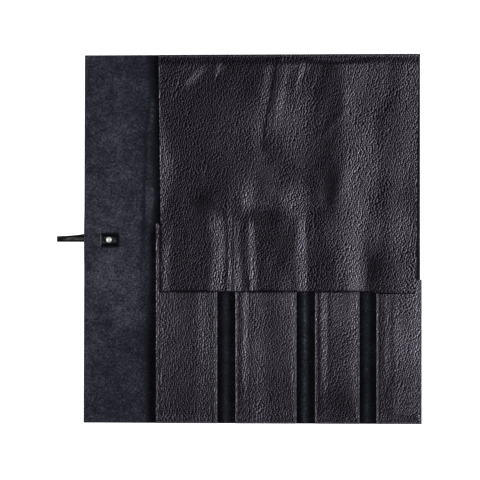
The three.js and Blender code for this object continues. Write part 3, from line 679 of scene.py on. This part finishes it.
thread = thread_finish()


def round_faces(rings, sides):
    """Points numbered ring by ring, and the faces that join each ring to the next, all the way round."""
    ring = np.arange(rings * sides).reshape(rings, sides)
    turn = np.roll(ring, -1, axis=1)
    return ring, np.stack([ring[:-1], turn[:-1], turn[1:], ring[1:]], -1).reshape(-1, 4)


def stitches(name, runs, level, placed):
    """Strands along straight runs of the plan, on leather at one level. A run from one point to another is
    shared out into whole stitches, and placed says where its points lie on the real roll. Along a strand,
    its width and rise follow a flattened arch, and around it, its section is an ellipse."""
    along = np.array([-0.5, -0.47, -0.36, -0.15, 0.15, 0.36, 0.47, 0.5])
    around = np.linspace(0.0, 2.0 * np.pi, 8, endpoint=False)
    arch = np.sqrt(np.clip(1.0 - np.abs(2.0 * along) ** 3, 0.02, 1.0))
    middles, headings = [], []
    for start, end in runs:
        start, end = np.array(start, float), np.array(end, float)
        length = np.linalg.norm(end - start)
        share = (np.arange(int(length / STITCH_PITCH)) + 0.5) / int(length / STITCH_PITCH)
        middles.append(start + (end - start) * share[:, None])
        headings.append(np.repeat([(end - start) / length], len(share), 0))
    middle, heading = np.concatenate(middles), np.concatenate(headings)
    count, rings, sides = len(middle), len(along), len(around)
    place = middle[:, None, :] + heading[:, None, :] * (along * STITCH_LENGTH)[None, :, None]
    across = np.stack([-heading[:, 1], heading[:, 0]], -1)
    wide = 0.5 * THREAD_WIDTH * arch[:, None] * np.cos(around)[None, :]
    plan = place[:, :, None, :] + across[:, None, None, :] * wide[None, :, :, None]
    x, y = placed(plan[..., 0], plan[..., 1])
    rise = THREAD_RISE * (arch - THREAD_SUNK)
    z = level + rise[None, :, None] + 0.5 * THREAD_RISE * (arch[:, None] * np.sin(around))[None]
    points = np.stack([x, y, np.broadcast_to(z, x.shape)], -1).reshape(-1, 3)
    _, skin = round_faces(rings, sides)
    fan = np.arange(1, sides - 1)
    far_cap = np.stack([0 * fan, fan, fan + 1], -1) + (rings - 1) * sides
    caps = np.concatenate([np.stack([0 * fan, fan + 1, fan], -1), far_cap])
    shift = (np.arange(count) * rings * sides)[:, None, None]
    faces = (skin[None] + shift).reshape(-1, 4).tolist() + (caps[None] + shift).reshape(-1, 3).tolist()
    mesh = new_mesh(name, points, faces, np.ones(len(faces), bool))
    write(mesh, "cut", "FLOAT_VECTOR", "vector", points * MM)
    return shown(name, mesh, (thread,))


for k, (low, high) in enumerate(pocket_box, 1):
    left, right = low[0] + SEAM_INSET, high[0] - SEAM_INSET
    bottom, mouth = low[1] + SEAM_INSET, high[1] - MOUTH_INSET
    runs = [((left, mouth), (left, bottom)), ((left, bottom), (right, bottom)),
            ((right, bottom), (right, mouth))]
    level = low[2] + POCKET_THICK - SEAM_BED * SEAM_DEPTH
    seam = stitches(f"pocket_seam_{k}", runs, level, as_sewn(k))
    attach(seam, f"bay_{k}")
    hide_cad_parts(f"pocket_stitching_{k}")

# HANDLE FLAP
# One piece of the same grain leather, sewn along the hide's top edge and laid down over the pockets'
# mouths. It climbs over the pockets, dips between them, and keeps the creases of being rolled. It is parted
# at the folds.
grain = grain_finish("grain_leather", 0.06, 0.0)
FLAP_THICK, FLAP_RISE, FLAP_CLEAR, FLAP_SOFT = 1.6, 10.0, 0.1, 1.7
FOLD_LEVEL = joint_at["bay_1_roll"][2] - FLAP_CLEAR
FOLD_SLOPE = 0.9
hem_line = corners("flap_hem_1")[0][1]
flap_base = flap_root + FLAP_THICK
tall_mouth = pocket_box[0][1][1]

# Sections across the flap: the place of each up the hide, and its points (place across, height). The broad
# fold right of the middle runs the flap's whole length. The lowest two lie over the pockets and have the
# pleat beside the first fold.
SECTIONS = [
    (228, [
        (-140, 5.5), (-128, 5.6), (-118, 6.0), (-90, 6.2), (-40, 6.5), (0, 6.7), (30, 6.2), (50, 6.4),
        (71, 6.5), (84, 7.2), (100, 7.6), (122, 8.5), (125, 8.3), (136, 7.1), (160, 5.1), (181, 4.2),
        (188, 4.1), (206, 6.1), (222, 7.2), (240, 7.3)]),
    (188, [
        (-140, 5.4), (-128, 5.5), (-120, 6.0), (-90, 6.2), (-40, 6.4), (-25, 6.6), (5, 6.8), (26, 6.1),
        (45, 6.3), (71, 6.5), (82, 7.4), (92, 7.9), (124, 8.9), (126.5, 8.6), (139, 7.1), (165, 4.8),
        (184, 4.1), (192, 4.1), (212, 6.1), (222, 7.5), (240, 7.6)]),
    (148, [
        (-140, 5.4), (-127, 5.5), (-117, 6.2), (-90, 6.4), (-40, 6.4), (0, 6.8), (20, 6.3), (46, 6.4),
        (71, 6.5), (80, 7.3), (90, 8.0), (118, 8.7), (126, 8.5), (136, 7.6), (158, 5.6), (166, 5.0),
        (190, 4.8), (222, 7.2), (240, 7.3)]),
    (100, [
        (-140, 5.0), (-126, 5.1), (-122, 5.5), (-115, 6.4), (-104, 6.8), (-80, 6.9), (-50, 6.6),
        (-34, 6.4), (-20, 7.4), (-8, 7.6), (10, 7.1), (40, 6.3), (55, 6.0), (64, 6.1), (72, 6.4),
        (84, 7.9), (92, 8.5), (121, 8.9), (127, 8.7), (138, 7.7), (158, 5.5), (163, 5.2), (170, 5.0),
        (196, 6.8), (222, 8.6), (240, 8.7)]),
    (48, [
        (-140, 4.9), (-125, 5.0), (-118, 6.0), (-112, 6.4), (-85, 6.7), (-60, 6.6), (-40, 6.4),
        (-34, 6.6), (-30, 7.0), (-18, 7.7), (-13, 7.6), (2, 5.7), (10, 5.2), (26, 4.4), (32, 4.4),
        (40, 4.9), (58, 6.8), (64, 6.9), (71, 6.6), (80, 7.5), (90, 8.3), (112, 8.8), (119, 8.6),
        (124, 8.2), (150, 5.4), (157, 5.0), (174, 4.8), (200, 6.6), (222, 8.2), (240, 8.3)]),
    (13, [
        (-140, 6.2), (-124, 6.3), (-120, 6.5), (-113, 7.1), (-105, 7.6), (-80, 8.1), (-64, 8.4),
        (-56, 8.1), (-50, 7.5), (-38, 5.8), (-36, 5.7), (-33, 5.8), (-28.5, 7.0), (-26, 7.3),
        (-16.5, 6.0), (-13, 5.8), (-6, 6.0), (-3, 6.7), (2, 8.0), (6, 8.6), (40, 9.0), (60, 8.9),
        (64.5, 8.4), (72.5, 6.6), (76, 6.4), (80, 7.2), (95, 9.0), (115, 9.4), (121, 9.3), (127, 8.8),
        (135, 7.9), (147, 6.1), (153, 5.6), (172, 5.4), (178, 5.6), (190, 7.1), (204, 8.8), (216, 9.8),
        (222, 10.0), (240, 10.0)]),
    (-50, [
        (-140, 5.9), (-122.5, 6.0), (-119, 6.4), (-114, 7.5), (-108, 8.0), (-85, 8.4), (-70, 9.1),
        (-60, 9.2), (-54, 8.6), (-39, 5.8), (-36, 5.6), (-33, 5.7), (-28.5, 7.2), (-26, 7.5),
        (-16.5, 6.1), (-13, 5.9), (-6, 6.0), (-3, 6.7), (3, 8.5), (7, 9.0), (40, 9.3), (60, 9.0),
        (64.5, 8.4), (72.5, 6.5), (76, 6.3), (80, 6.6), (90, 7.7), (104, 9.0), (112, 9.3), (125, 9.3),
        (131, 9.1), (135, 8.5), (144, 6.6), (149, 5.8), (155, 5.6), (165, 6.1), (172, 6.6), (180, 7.4),
        (194, 9.0), (208, 10.6), (216, 11.4), (222, 11.4), (240, 11.4)]),
]
# Smaller creases: points (place across, place up the hide, height, below 0 for a groove), and the reach to
# both sides.
CREASES = [
    ([(34, 244, -0.7), (31, 226, -0.9), (25, 188, -1.3), (16.5, 148, -0.9), (11, 112, 0)], 16, 6),
    ([(42, 244, 0.6), (38.5, 226, 0.9), (31.5, 188, 1.1), (26, 148, 1.0), (20, 112, 0)], 7, 14),
    ([(75, 244, -1.2), (71, 226, -1.7), (66, 205, -1.0), (62, 186, 0)], 8, 7),
    ([(85, 244, 0.4), (82, 226, 0.7), (77, 205, 0.4), (73, 186, 0)], 7, 12),
    ([(-66, 244, 0.7), (-74, 228, 1.1), (-88, 216, 0.9), (-108, 196, 0)], 22, 14),
    ([(-39, 244, -1.1), (-43, 228, -1.0), (-48, 212, 0)], 6, 6),
    ([(118, 168, 0), (112, 160, 0.6), (100, 145, 0.5), (92, 130, 0)], 12, 12),
    ([(-92, 72, 0), (-70, 52, -0.7), (-50, 38, -0.5), (-40, 30, 0)], 14, 14),
]
# Slow unevenness of the flap: length, heading, start and height of each wave.
FLAP_WAVES = [(71.0, 0.2, 0.4, 0.22), (47.0, 0.4, 1.9, 0.16), (93.0, 2.0, 3.1, 0.2), (31.0, 2.8, 0.8, 0.1)]
# Rubbed and dull places: middle, half width, half height, and how much the gloss is raised or lowered.
RUBBED = [
    (212, 200, 31, 110, 1.35), (202, 100, 42, 64, 1.1), (201, 10, 32, 70, 1.6),
    (208, -60, 30, 44, 1.3), (60, 150, 42, 84, 1.0), (56, 50, 33, 45, 1.6), (-66, 53, 26, 30, -0.5),
    (106, 80, 20, 100, -0.65), (20, 72, 18, 54, -0.3), (-12, 70, 26, 44, 0.6), (35, -20, 26, 60, -0.3),
    (104, 232, 20, 30, -0.1), (-82, 228, 32, 26, 0.5), (165, -20, 18, 70, -0.6), (-20, 150, 54, 94, 0.4),
    (-90, 160, 50, 90, 0.15), (42, 185, 18, 70, 0.5), (52, 232, 30, 24, 0.4),
    (72, 190, 18, 40, 0.5), (148, 115, 24, 150, -0.35), (66, -40, 10, 30, -0.3), (-117, 95, 14, 70, 0.8),
]
# The dull furrow of the longest small crease: points (place across, place up the hide, loss of gloss).
FURROW = [(36, 244, -0.4), (33, 226, -0.8), (27.5, 188, -0.75), (19, 148, -0.65), (14, 112, 0)]
FURROW_REACH = 6.0


def flap_top(x, y):
    """Height of the flap's grain side. From the hem it rises quickly to the sections, which pass smoothly
    into one another along its length, and the creases and a slow unevenness lie over them. It stays above
    its root, and beside a fold it stays low enough for the flap to fold there."""
    level = softened(SECTIONS[0][1], x, FLAP_SOFT)
    for (upper_y, _), (lower_y, section) in zip(SECTIONS[:-1], SECTIONS[1:]):
        passed = smooth((upper_y - y) / (upper_y - lower_y))
        level = level + (softened(section, x, FLAP_SOFT) - level) * passed
    level = level + sum(ridge(x, y, line, left, right) for line, left, right in CREASES)
    level = level + swell(x, y, FLAP_WAVES)
    level = np.maximum(level, flap_base + FLAP_CLEAR)
    for fold in gap_folds:
        level = np.minimum(level, FOLD_LEVEL + FOLD_SLOPE * np.abs(x - fold))
    rise = 1.0 - (1.0 - np.clip((hem_line - y) / FLAP_RISE, 0.0, 1.0)) ** 2
    return flap_base + rise * (level - flap_base)


def flap_polish(x, y):
    """How far the gloss is raised or lowered: a soft oval for each rubbed or dull place, and the furrow."""
    total = ridge(x, y, FURROW, FURROW_REACH, FURROW_REACH)
    for middle_x, middle_y, half_wide, half_high, amount in RUBBED:
        off = np.hypot((x - middle_x) / half_wide, (y - middle_y) / half_high)
        total = total + amount * smooth(1.0 - off)
    return total


# How the flap's edges stray from its marks: both sides start off to the right and slant inwards as they
# fall, and the end sags at the right and wavers. All of it fades out over EDGE_FADE.
EDGE_FADE = 55.0
LEFT_SHIFT, LEFT_SLANT, RIGHT_SHIFT, RIGHT_SLANT = 0.7, 3.9, 1.7, -3.7
END_SAG, SAG_FROM, SAG_OVER, WAVER, WAVER_LENGTH = -2.4, 140.0, 40.0, 0.5, 17.0
# Pale ridges, the painted highlight along the left edge above the pockets, the painted shade along the rim,
# made by dulling its gloss, and the rubbed hem.
RIDGE_PALE, RIDGE_PALEST, LEFT_EDGE_HIGHLIGHT, LEFT_HIGHLIGHT_REACH, EDGE_ABOVE = 0.4, 0.06, 0.3, 0.8, 20.0
RIM_SHADE_GLOSS, RIM_SHADE_REACH, RIM_RIGHT, RIM_ABOVE = -1.0, 1.7, 1.0, 9.0
HEM_GLOSS, HEM_FADE = 0.45, 1.5
FLAP_SLANT = 15.0
# The flap's grid is finer at its end and finest at the hem.
FLAP_STEP, END_STEP, MIDDLE_STEP, HEM_STEP = 1.3, 2.0, 2.5, 1.0
END_ROWS, HEM_ROWS = tall_mouth + 60.0, 205.0
flap_rows = joined(lines(flap_end, END_ROWS, END_STEP, cut_start=True),
                   lines(END_ROWS, HEM_ROWS, MIDDLE_STEP),
                   lines(HEM_ROWS, hide_top_edge, HEM_STEP, cut_end=True))
flap_edges = [flap_left, *gap_folds, flap_right]
for k in (1, 2, 3, 4):
    start, end = flap_edges[k - 1], flap_edges[k]
    first, last = k == 1, k == 4
    x, y = np.meshgrid(lines(start, end, FLAP_STEP, first, last), flap_rows)
    fall = (hem_line - y) / (hem_line - flap_end)
    x = x + (LEFT_SHIFT + LEFT_SLANT * fall) * smooth(1.0 - (x - flap_left) / EDGE_FADE) * first
    x = x + (RIGHT_SHIFT + RIGHT_SLANT * fall) * smooth(1.0 - (flap_right - x) / EDGE_FADE) * last
    sag = END_SAG * smooth((x - SAG_FROM) / SAG_OVER) + WAVER * np.sin(x / WAVER_LENGTH)
    y = y + sag * smooth(1.0 - (y - flap_end) / EDGE_FADE)
    top = flap_top(x, y)
    bend = np.gradient(np.gradient(top, axis=1), axis=1) / FLAP_STEP ** 2
    tone = np.clip(-bend * RIDGE_PALE, 0.0, RIDGE_PALEST)
    rim = y - y[:1]
    if first:
        above = smooth((y - tall_mouth) / EDGE_ABOVE)
        # Painted highlight along the flap's left edge above the pockets.
        tone = tone + LEFT_EDGE_HIGHLIGHT * above * np.exp((x[:, :1] - x) / LEFT_HIGHLIGHT_REACH)
        rim = np.minimum(rim, x - x[:, :1] + RIM_ABOVE * above)
    if last:
        rim = np.minimum(rim, RIM_RIGHT + x[:, -1:] - x)
    polish = flap_polish(x, y)
    # Painted shade along the flap's rim: its gloss is dulled to nothing there.
    polish = polish - (polish - RIM_SHADE_GLOSS) * bell(rim, RIM_SHADE_REACH)
    polish = polish + HEM_GLOSS * smooth((y - hem_line) / HEM_FADE)
    part = leather_piece(f"flap_leather_{k}", *as_cut(x, y), top, FLAP_THICK, (grain, suede, cut_edge),
                         (first, last, True, True), tone, polish, FLAP_SLANT)
    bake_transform(part)
    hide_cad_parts(f"flap_panel_{k}", f"flap_hem_{k}")

# HEM SEAM
# The row of lockstitch that holds the flap to the hide along its top edge, in the same waxed black thread.
# It is parted where the roll folds.
HEM_END_INSET, HEM_FOLD_INSET, HEM_BED = 1.5, 0.3, 0.12
seam_y = hide_top_edge - SEAM_INSET
for k in (1, 2, 3, 4):
    start = flap_edges[k - 1] + (HEM_END_INSET if k == 1 else HEM_FOLD_INSET)
    end = flap_edges[k] - (HEM_END_INSET if k == 4 else HEM_FOLD_INSET)
    seam = stitches(f"hem_seam_{k}", [((start, seam_y), (end, seam_y))], flap_base - HEM_BED, as_cut)
    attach(seam, f"bay_{k}")
    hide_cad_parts(f"hem_stitching_{k}")

# STRAP
# One length of smooth strap leather. Its free length is a flat band with rounded edges, burnished and
# darkened with painted shade; its riveted end is wider, lies inside on the wrap panel and turns down through
# the slit.
STRAP_WIDTH, STRAP_THICK = 8.0, 1.8
TAB_WIDTH = 14.6
# Sizes in millimetres of its creases and of its grain, what its sides lose, burnished and with painted shade
# of their rounding, and its colours.
STREAK_SIZE, SPECK_SIZE, SIDE_LOSS, SPECK_HEIGHT = 1.6, 0.6, 0.24, 0.4
STRAP_COLOURS = [(0.41, (0.0004, 0.0004, 0.0005)), (0.5, (0.007, 0.007, 0.0073)),
                 (0.64, (0.062, 0.062, 0.063))]


def strap_finish(name, drawn_out, side):
    """Strap leather: smooth and near black, with a fine grain, paler creases that are drawn_out times as
    long as they are wide, sides darkened over the span side of distances from the middle, partly burnish
    and partly painted shade of their rounding, and a soft gloss."""
    made, tree, skin = new_finish(name)
    cut = marked(tree, "cut")
    drawn = put(tree, "Mapping", {"Vector": cut, "Scale": (1.0 / drawn_out, 1.0, 1.0)}).outputs[0]
    streak = clouds(tree, drawn, STREAK_SIZE, 3.0).outputs[0]
    speck = clouds(tree, cut, SPECK_SIZE, 3.0).outputs[0]
    off_middle = reckon(tree, "ABSOLUTE", put(tree, "SeparateXYZ", {"Vector": cut}).outputs["Y"])
    # The sides darken: burnish and painted shade of their rounding.
    lost = spread(tree, off_middle, side[0] * MM, side[1] * MM, 0.0, SIDE_LOSS)
    colour = tint(tree, reckon(tree, "SUBTRACT", streak, lost), STRAP_COLOURS)
    rough = spread(tree, streak, 0.3, 0.7, 0.5, 0.3)
    bump = relief(tree, reckon(tree, "MULTIPLY_ADD", speck, SPECK_HEIGHT, streak), 0.6, 0.3)
    wire(tree, skin, {"Base Color": colour, "Normal": bump, "Roughness": rough, "Specular IOR Level": 0.05})
    return made


strap_leather = strap_finish("strap_leather", 8.0, (1.6, 4.2))
worn_leather = strap_finish("worn_strap_leather", 1.2, (3.2, 6.0))


def smooth_route(points, per_leg):
    """A smooth line through points: each leg is a cubic whose slopes come from its neighbours, with knots
    spaced by the square root of the distances, so that it doesn't loop at tight turns."""
    ends = np.vstack([2 * points[0] - points[1], points, 2 * points[-1] - points[-2]])
    p0, p1, p2, p3 = (ends[i:len(ends) - 3 + i, None, :] for i in range(4))
    knot = [np.linalg.norm(b - a, axis=-1, keepdims=True) ** 0.5 for a, b in ((p0, p1), (p1, p2), (p2, p3))]
    slope1 = ((p1 - p0) / knot[0] - (p2 - p0) / (knot[0] + knot[1]) + (p2 - p1) / knot[1]) * knot[1]
    slope2 = ((p2 - p1) / knot[1] - (p3 - p1) / (knot[1] + knot[2]) + (p3 - p2) / knot[2]) * knot[1]
    t = np.linspace(0.0, 1.0, per_leg, endpoint=False)[None, :, None]
    line = ((2 * t ** 3 - 3 * t ** 2 + 1) * p1 + (t ** 3 - 2 * t ** 2 + t) * slope1
            + (3 * t ** 2 - 2 * t ** 3) * p2 + (t ** 3 - t ** 2) * slope2)
    return np.vstack([line.reshape(-1, 3), points[-1]])


BAND_SIDES, BAND_SQUARE, BAND_ROUND = 24, 0.35, 0.6


def flat_band(name, line, half_width, thick, skins):
    """A flat band along a line: its section is a rounded oblong that stands square to the line, with its
    width always level, half_width wide each way at each point of the line. Both ends are closed."""
    ahead = np.gradient(line, axis=0)
    ahead /= np.linalg.norm(ahead, axis=1, keepdims=True)
    side = np.stack([-ahead[:, 1], ahead[:, 0], 0.0 * ahead[:, 0]], -1)
    side /= np.maximum(np.linalg.norm(side, axis=1, keepdims=True), 1e-9)
    turned = np.sign((side[1:] * side[:-1]).sum(1))
    side *= np.concatenate([[1.0], np.cumprod(np.where(turned == 0, 1.0, turned))])[:, None]
    up = np.cross(ahead, side)
    angle = np.linspace(0.0, 2.0 * np.pi, BAND_SIDES, endpoint=False)
    wide = np.sign(np.cos(angle)) * np.abs(np.cos(angle)) ** BAND_SQUARE
    tall = np.sign(np.sin(angle)) * np.abs(np.sin(angle)) ** BAND_ROUND
    half_width = np.broadcast_to(half_width, len(line))
    round_off = np.minimum(1.0, half_width / thick)
    points = (line[:, None, :] + side[:, None, :] * (wide[None, :] * half_width[:, None])[..., None]
              + up[:, None, :] * (tall[None, :] * (0.5 * thick * round_off)[:, None])[..., None])
    rings, sides = points.shape[:2]
    ring, skin = round_faces(rings, sides)
    faces = skin.tolist() + [ring[0, ::-1].tolist(), ring[-1].tolist()]
    mesh = new_mesh(name, points.reshape(-1, 3), faces, np.arange(len(faces)) < len(skin))
    run = np.concatenate([[0.0], np.cumsum(np.linalg.norm(np.diff(line, axis=0), axis=1))])
    laid = np.stack([np.repeat(run[:, None], sides, 1), wide[None] * half_width[:, None],
                     np.repeat(tall[None], rings, 0)], -1)
    write(mesh, "cut", "FLOAT_VECTOR", "vector", laid.reshape(-1, 3) * MM)
    return shown(name, mesh, skins)


strap_line = smooth_route(STRAP_ROUTE, 8)
strap = flat_band("strap", strap_line, STRAP_WIDTH / 2, STRAP_THICK, (strap_leather,))
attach(strap, "wrap")
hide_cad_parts("closure_strap")

tab_low, tab_high = corners("strap_tab")
tab_level = tab_high[2] - STRAP_THICK / 2
# The tab's middle: out from under the hide, up through the slit, and along the suede to its end.
tab_turns = np.array([
    (tab_low[0], TAB_SHIFT, STRAP_LIFT), (slit - 1.4, TAB_SHIFT, STRAP_LIFT),
    (slit - 0.3, TAB_SHIFT, STRAP_LIFT + 0.5), (slit, TAB_SHIFT, STRAP_LIFT + 1.6),
    (slit, TAB_SHIFT, tab_level - 1.6), (slit + 0.4, TAB_SHIFT, tab_level - 0.5),
    (slit + 1.5, TAB_SHIFT, tab_level), (slit + 8, TAB_SHIFT, tab_level),
    (tab_high[0], TAB_SHIFT, tab_level)])
tab_line = smooth_route(tab_turns, 10)
to_end = np.maximum(tab_high[0] - tab_line[:, 0], 0.0)
# Its end is a half circle, and it is at its full width below the suede.
to_round = np.clip(1.0 - to_end / (TAB_WIDTH / 2), 0.0, 1.0)
tab_half = np.sqrt(np.clip(1.0 - to_round ** 2, 0.0004, 1.0)) * TAB_WIDTH / 2
tab_half = np.where(tab_line[:, 2] < tab_level - 1.0, TAB_WIDTH / 2, tab_half)
tab = flat_band("strap_end", tab_line, tab_half, STRAP_THICK, (worn_leather,))
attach(tab, "wrap")
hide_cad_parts("strap_tab")

# RIVET
# Two pieces of nickelled steel: a domed cap whose post goes through the strap's end and the hide, and a
# flat back that it is set into under the hide.
RIVET_SIDES, SHARP_FROM = 48, 40.0
RIVET_OFF = np.array([1.2, -1.0])
CAP_SHARE, CAP_HEIGHT, CAP_RIM = 0.8, 2.0, 0.45
POST_RADIUS, SOCKET_RADIUS, SOCKET_DEPTH = 1.6, 1.9, 0.5
# Rounding of the cap's lower edge and of the back's: how far out from the rim, and how far up.
CAP_EASE = [(-0.25, 0.0), (0.0, 0.2)]
BACK_EASE = [(-0.5, 0.0), (-0.15, 0.1), (0.0, 0.4)]
HAZE_SIZE = 1.5
NICKEL_COLOURS = [(0.3, (0.5, 0.49, 0.47)), (0.7, (0.7, 0.69, 0.66))]


def nickel_finish():
    """Nickel: satin metal with a worn haze, in clouds that shift its colour and its roughness."""
    made, tree, skin = new_finish("nickel")
    place = put(tree, "TexCoord").outputs["Object"]
    haze = clouds(tree, place, HAZE_SIZE, 4.0, 0.7).outputs[0]
    rough = spread(tree, haze, 0.3, 0.7, 0.42, 0.6)
    wire(tree, skin, {"Base Color": tint(tree, haze, NICKEL_COLOURS), "Roughness": rough, "Metallic": 1.0})
    return made


nickel = nickel_finish()


def turned_piece(name, profile, centre, skins):
    """A turned piece: a profile of (radius, height) points carried round an upright axis, closed at both
    poles."""
    radius, high = np.array(profile, float).T
    angle = np.linspace(0.0, 2.0 * np.pi, RIVET_SIDES, endpoint=False)
    inner = slice(1, -1)
    round_x = centre[0] + radius[inner, None] * np.cos(angle)
    round_y = centre[1] + radius[inner, None] * np.sin(angle)
    body = np.stack([round_x, round_y, np.repeat(high[inner, None], RIVET_SIDES, 1)], -1).reshape(-1, 3)
    poles = np.array([(centre[0], centre[1], high[0]), (centre[0], centre[1], high[-1])])
    ring, wall = round_faces(len(radius) - 2, RIVET_SIDES)
    foot, head = len(body), len(body) + 1
    caps = [(foot, b, a) for a, b in zip(ring[0], np.roll(ring[0], -1))]
    caps += [(head, a, b) for a, b in zip(ring[-1], np.roll(ring[-1], -1))]
    faces = wall.tolist() + caps
    mesh = new_mesh(name, np.concatenate([body, poles]), faces, np.ones(len(faces), bool))
    mesh.set_sharp_from_angle(angle=np.radians(SHARP_FROM))
    return shown(name, mesh, skins)


cap_low, cap_high = corners("rivet_cap")
rivet_at = (cap_low + cap_high)[:2] / 2 + RIVET_OFF
cap_radius = CAP_SHARE * (cap_high[0] - cap_low[0]) / 2
cap_seat = cap_high[2] - CAP_HEIGHT
dome_turns = np.radians(np.arange(6, 90, 6.0))
dome = [(cap_radius * np.cos(a), cap_seat + CAP_RIM + (CAP_HEIGHT - CAP_RIM) * np.sin(a)) for a in dome_turns]
cap_profile = [(0, cap_low[2]), (POST_RADIUS, cap_low[2]), (POST_RADIUS, cap_seat),
               *[(cap_radius + out, cap_seat + up) for out, up in CAP_EASE], *dome, (0, cap_high[2])]
cap = turned_piece("rivet_head", cap_profile, rivet_at, (nickel,))
back_low, back_high = corners("rivet_back")
back_radius = (back_high[0] - back_low[0]) / 2
back_profile = [(0, back_low[2]), *[(back_radius + out, back_low[2] + up) for out, up in BACK_EASE],
                (back_radius, back_high[2]), (SOCKET_RADIUS, back_high[2]),
                (SOCKET_RADIUS, back_high[2] - SOCKET_DEPTH),
                (0, back_high[2] - SOCKET_DEPTH)]
back = turned_piece("rivet_foot", back_profile, rivet_at, (nickel,))
for piece, solid in ((cap, "rivet_cap"), (back, "rivet_back")):
    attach(piece, "wrap")
    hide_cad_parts(solid)

# FLOOR, LIGHT AND CAMERA
# A bare white sheet under the roll, a tall soft light on each side, pale walls under a dark ceiling, and the
# camera straight overhead.
FLOOR_HALF, FLOOR_LEVEL = 6.0, -0.0004
floor_signs = ((-1, -1), (1, -1), (1, 1), (-1, 1))
floor_corners = [(FLOOR_HALF * x, FLOOR_HALF * y, FLOOR_LEVEL) for x, y in floor_signs]
floor_mesh = bpy.data.meshes.new("floor")
floor_mesh.from_pydata(floor_corners, [], [(0, 1, 2, 3)])
white, white_tree, white_skin = new_finish("white_floor")
wire(white_tree, white_skin, {"Base Color": (0.9, 0.9, 0.9, 1.0), "Roughness": 0.9, "Specular IOR Level": 0.0,
                              "Emission Color": (1.0, 1.0, 1.0, 1.0), "Emission Strength": 0.75})
shown("floor", floor_mesh, (white,))


def soft_light(name, place, size, power):
    """An oblong soft light at a place, turned towards the middle of the roll."""
    lamp = bpy.data.lights.new(name, "AREA")
    lamp.shape, lamp.size, lamp.size_y, lamp.energy = "RECTANGLE", size[0], size[1], power
    made = bpy.data.objects.new(name, lamp)
    made.location = place
    made.rotation_mode = "QUATERNION"
    made.rotation_quaternion = (-made.location).to_track_quat("-Z", "Y")
    bpy.context.collection.objects.link(made)


LIGHT_OUT, LIGHT_UP, LIGHT_SIZE, LEFT_POWER, RIGHT_POWER = 1.25, 1.2, (0.7, 2.0), 22.3, 21.8
soft_light("light_left", (-LIGHT_OUT, 0.0, LIGHT_UP), LIGHT_SIZE, LEFT_POWER)
soft_light("light_right", (LIGHT_OUT, 0.0, LIGHT_UP), LIGHT_SIZE, RIGHT_POWER)
# The walls turn into the ceiling between two slopes of the view upwards.
WALL_COLOUR, CEILING_FROM, CEILING_FULL, CEILING_LEVEL = (0.9, 0.93, 1.0, 1.0), 0.35, 0.75, 0.05
world = bpy.data.worlds.new("studio")
bpy.context.scene.world = world
world.use_nodes = True
sky = world.node_tree
up = put(sky, "SeparateXYZ", {"Vector": put(sky, "TexCoord").outputs["Generated"]}).outputs["Z"]
shone = spread(sky, up, CEILING_FROM, CEILING_FULL, 1.0, CEILING_LEVEL)
wire(sky, sky.nodes["Background"], {"Color": WALL_COLOUR, "Strength": shone})

# The frame is FRAME_WIDTH wide at the level of the leather.
CAMERA_X, CAMERA_Y, CAMERA_HEIGHT, SENSOR_WIDTH = -0.0165, -0.0014, 2.6, 36.0
FRAME_WIDTH, FRAME_LEVEL = 0.6504, 0.005
camera_data = bpy.data.cameras.new("camera")
camera_data.sensor_width = SENSOR_WIDTH
camera_data.lens = SENSOR_WIDTH * (CAMERA_HEIGHT - FRAME_LEVEL) / FRAME_WIDTH
camera = bpy.data.objects.new("camera", camera_data)
camera.location = (CAMERA_X, CAMERA_Y, CAMERA_HEIGHT)
bpy.context.collection.objects.link(camera)
bpy.context.scene.camera = camera
bpy.context.scene.view_settings.view_transform = "Standard"
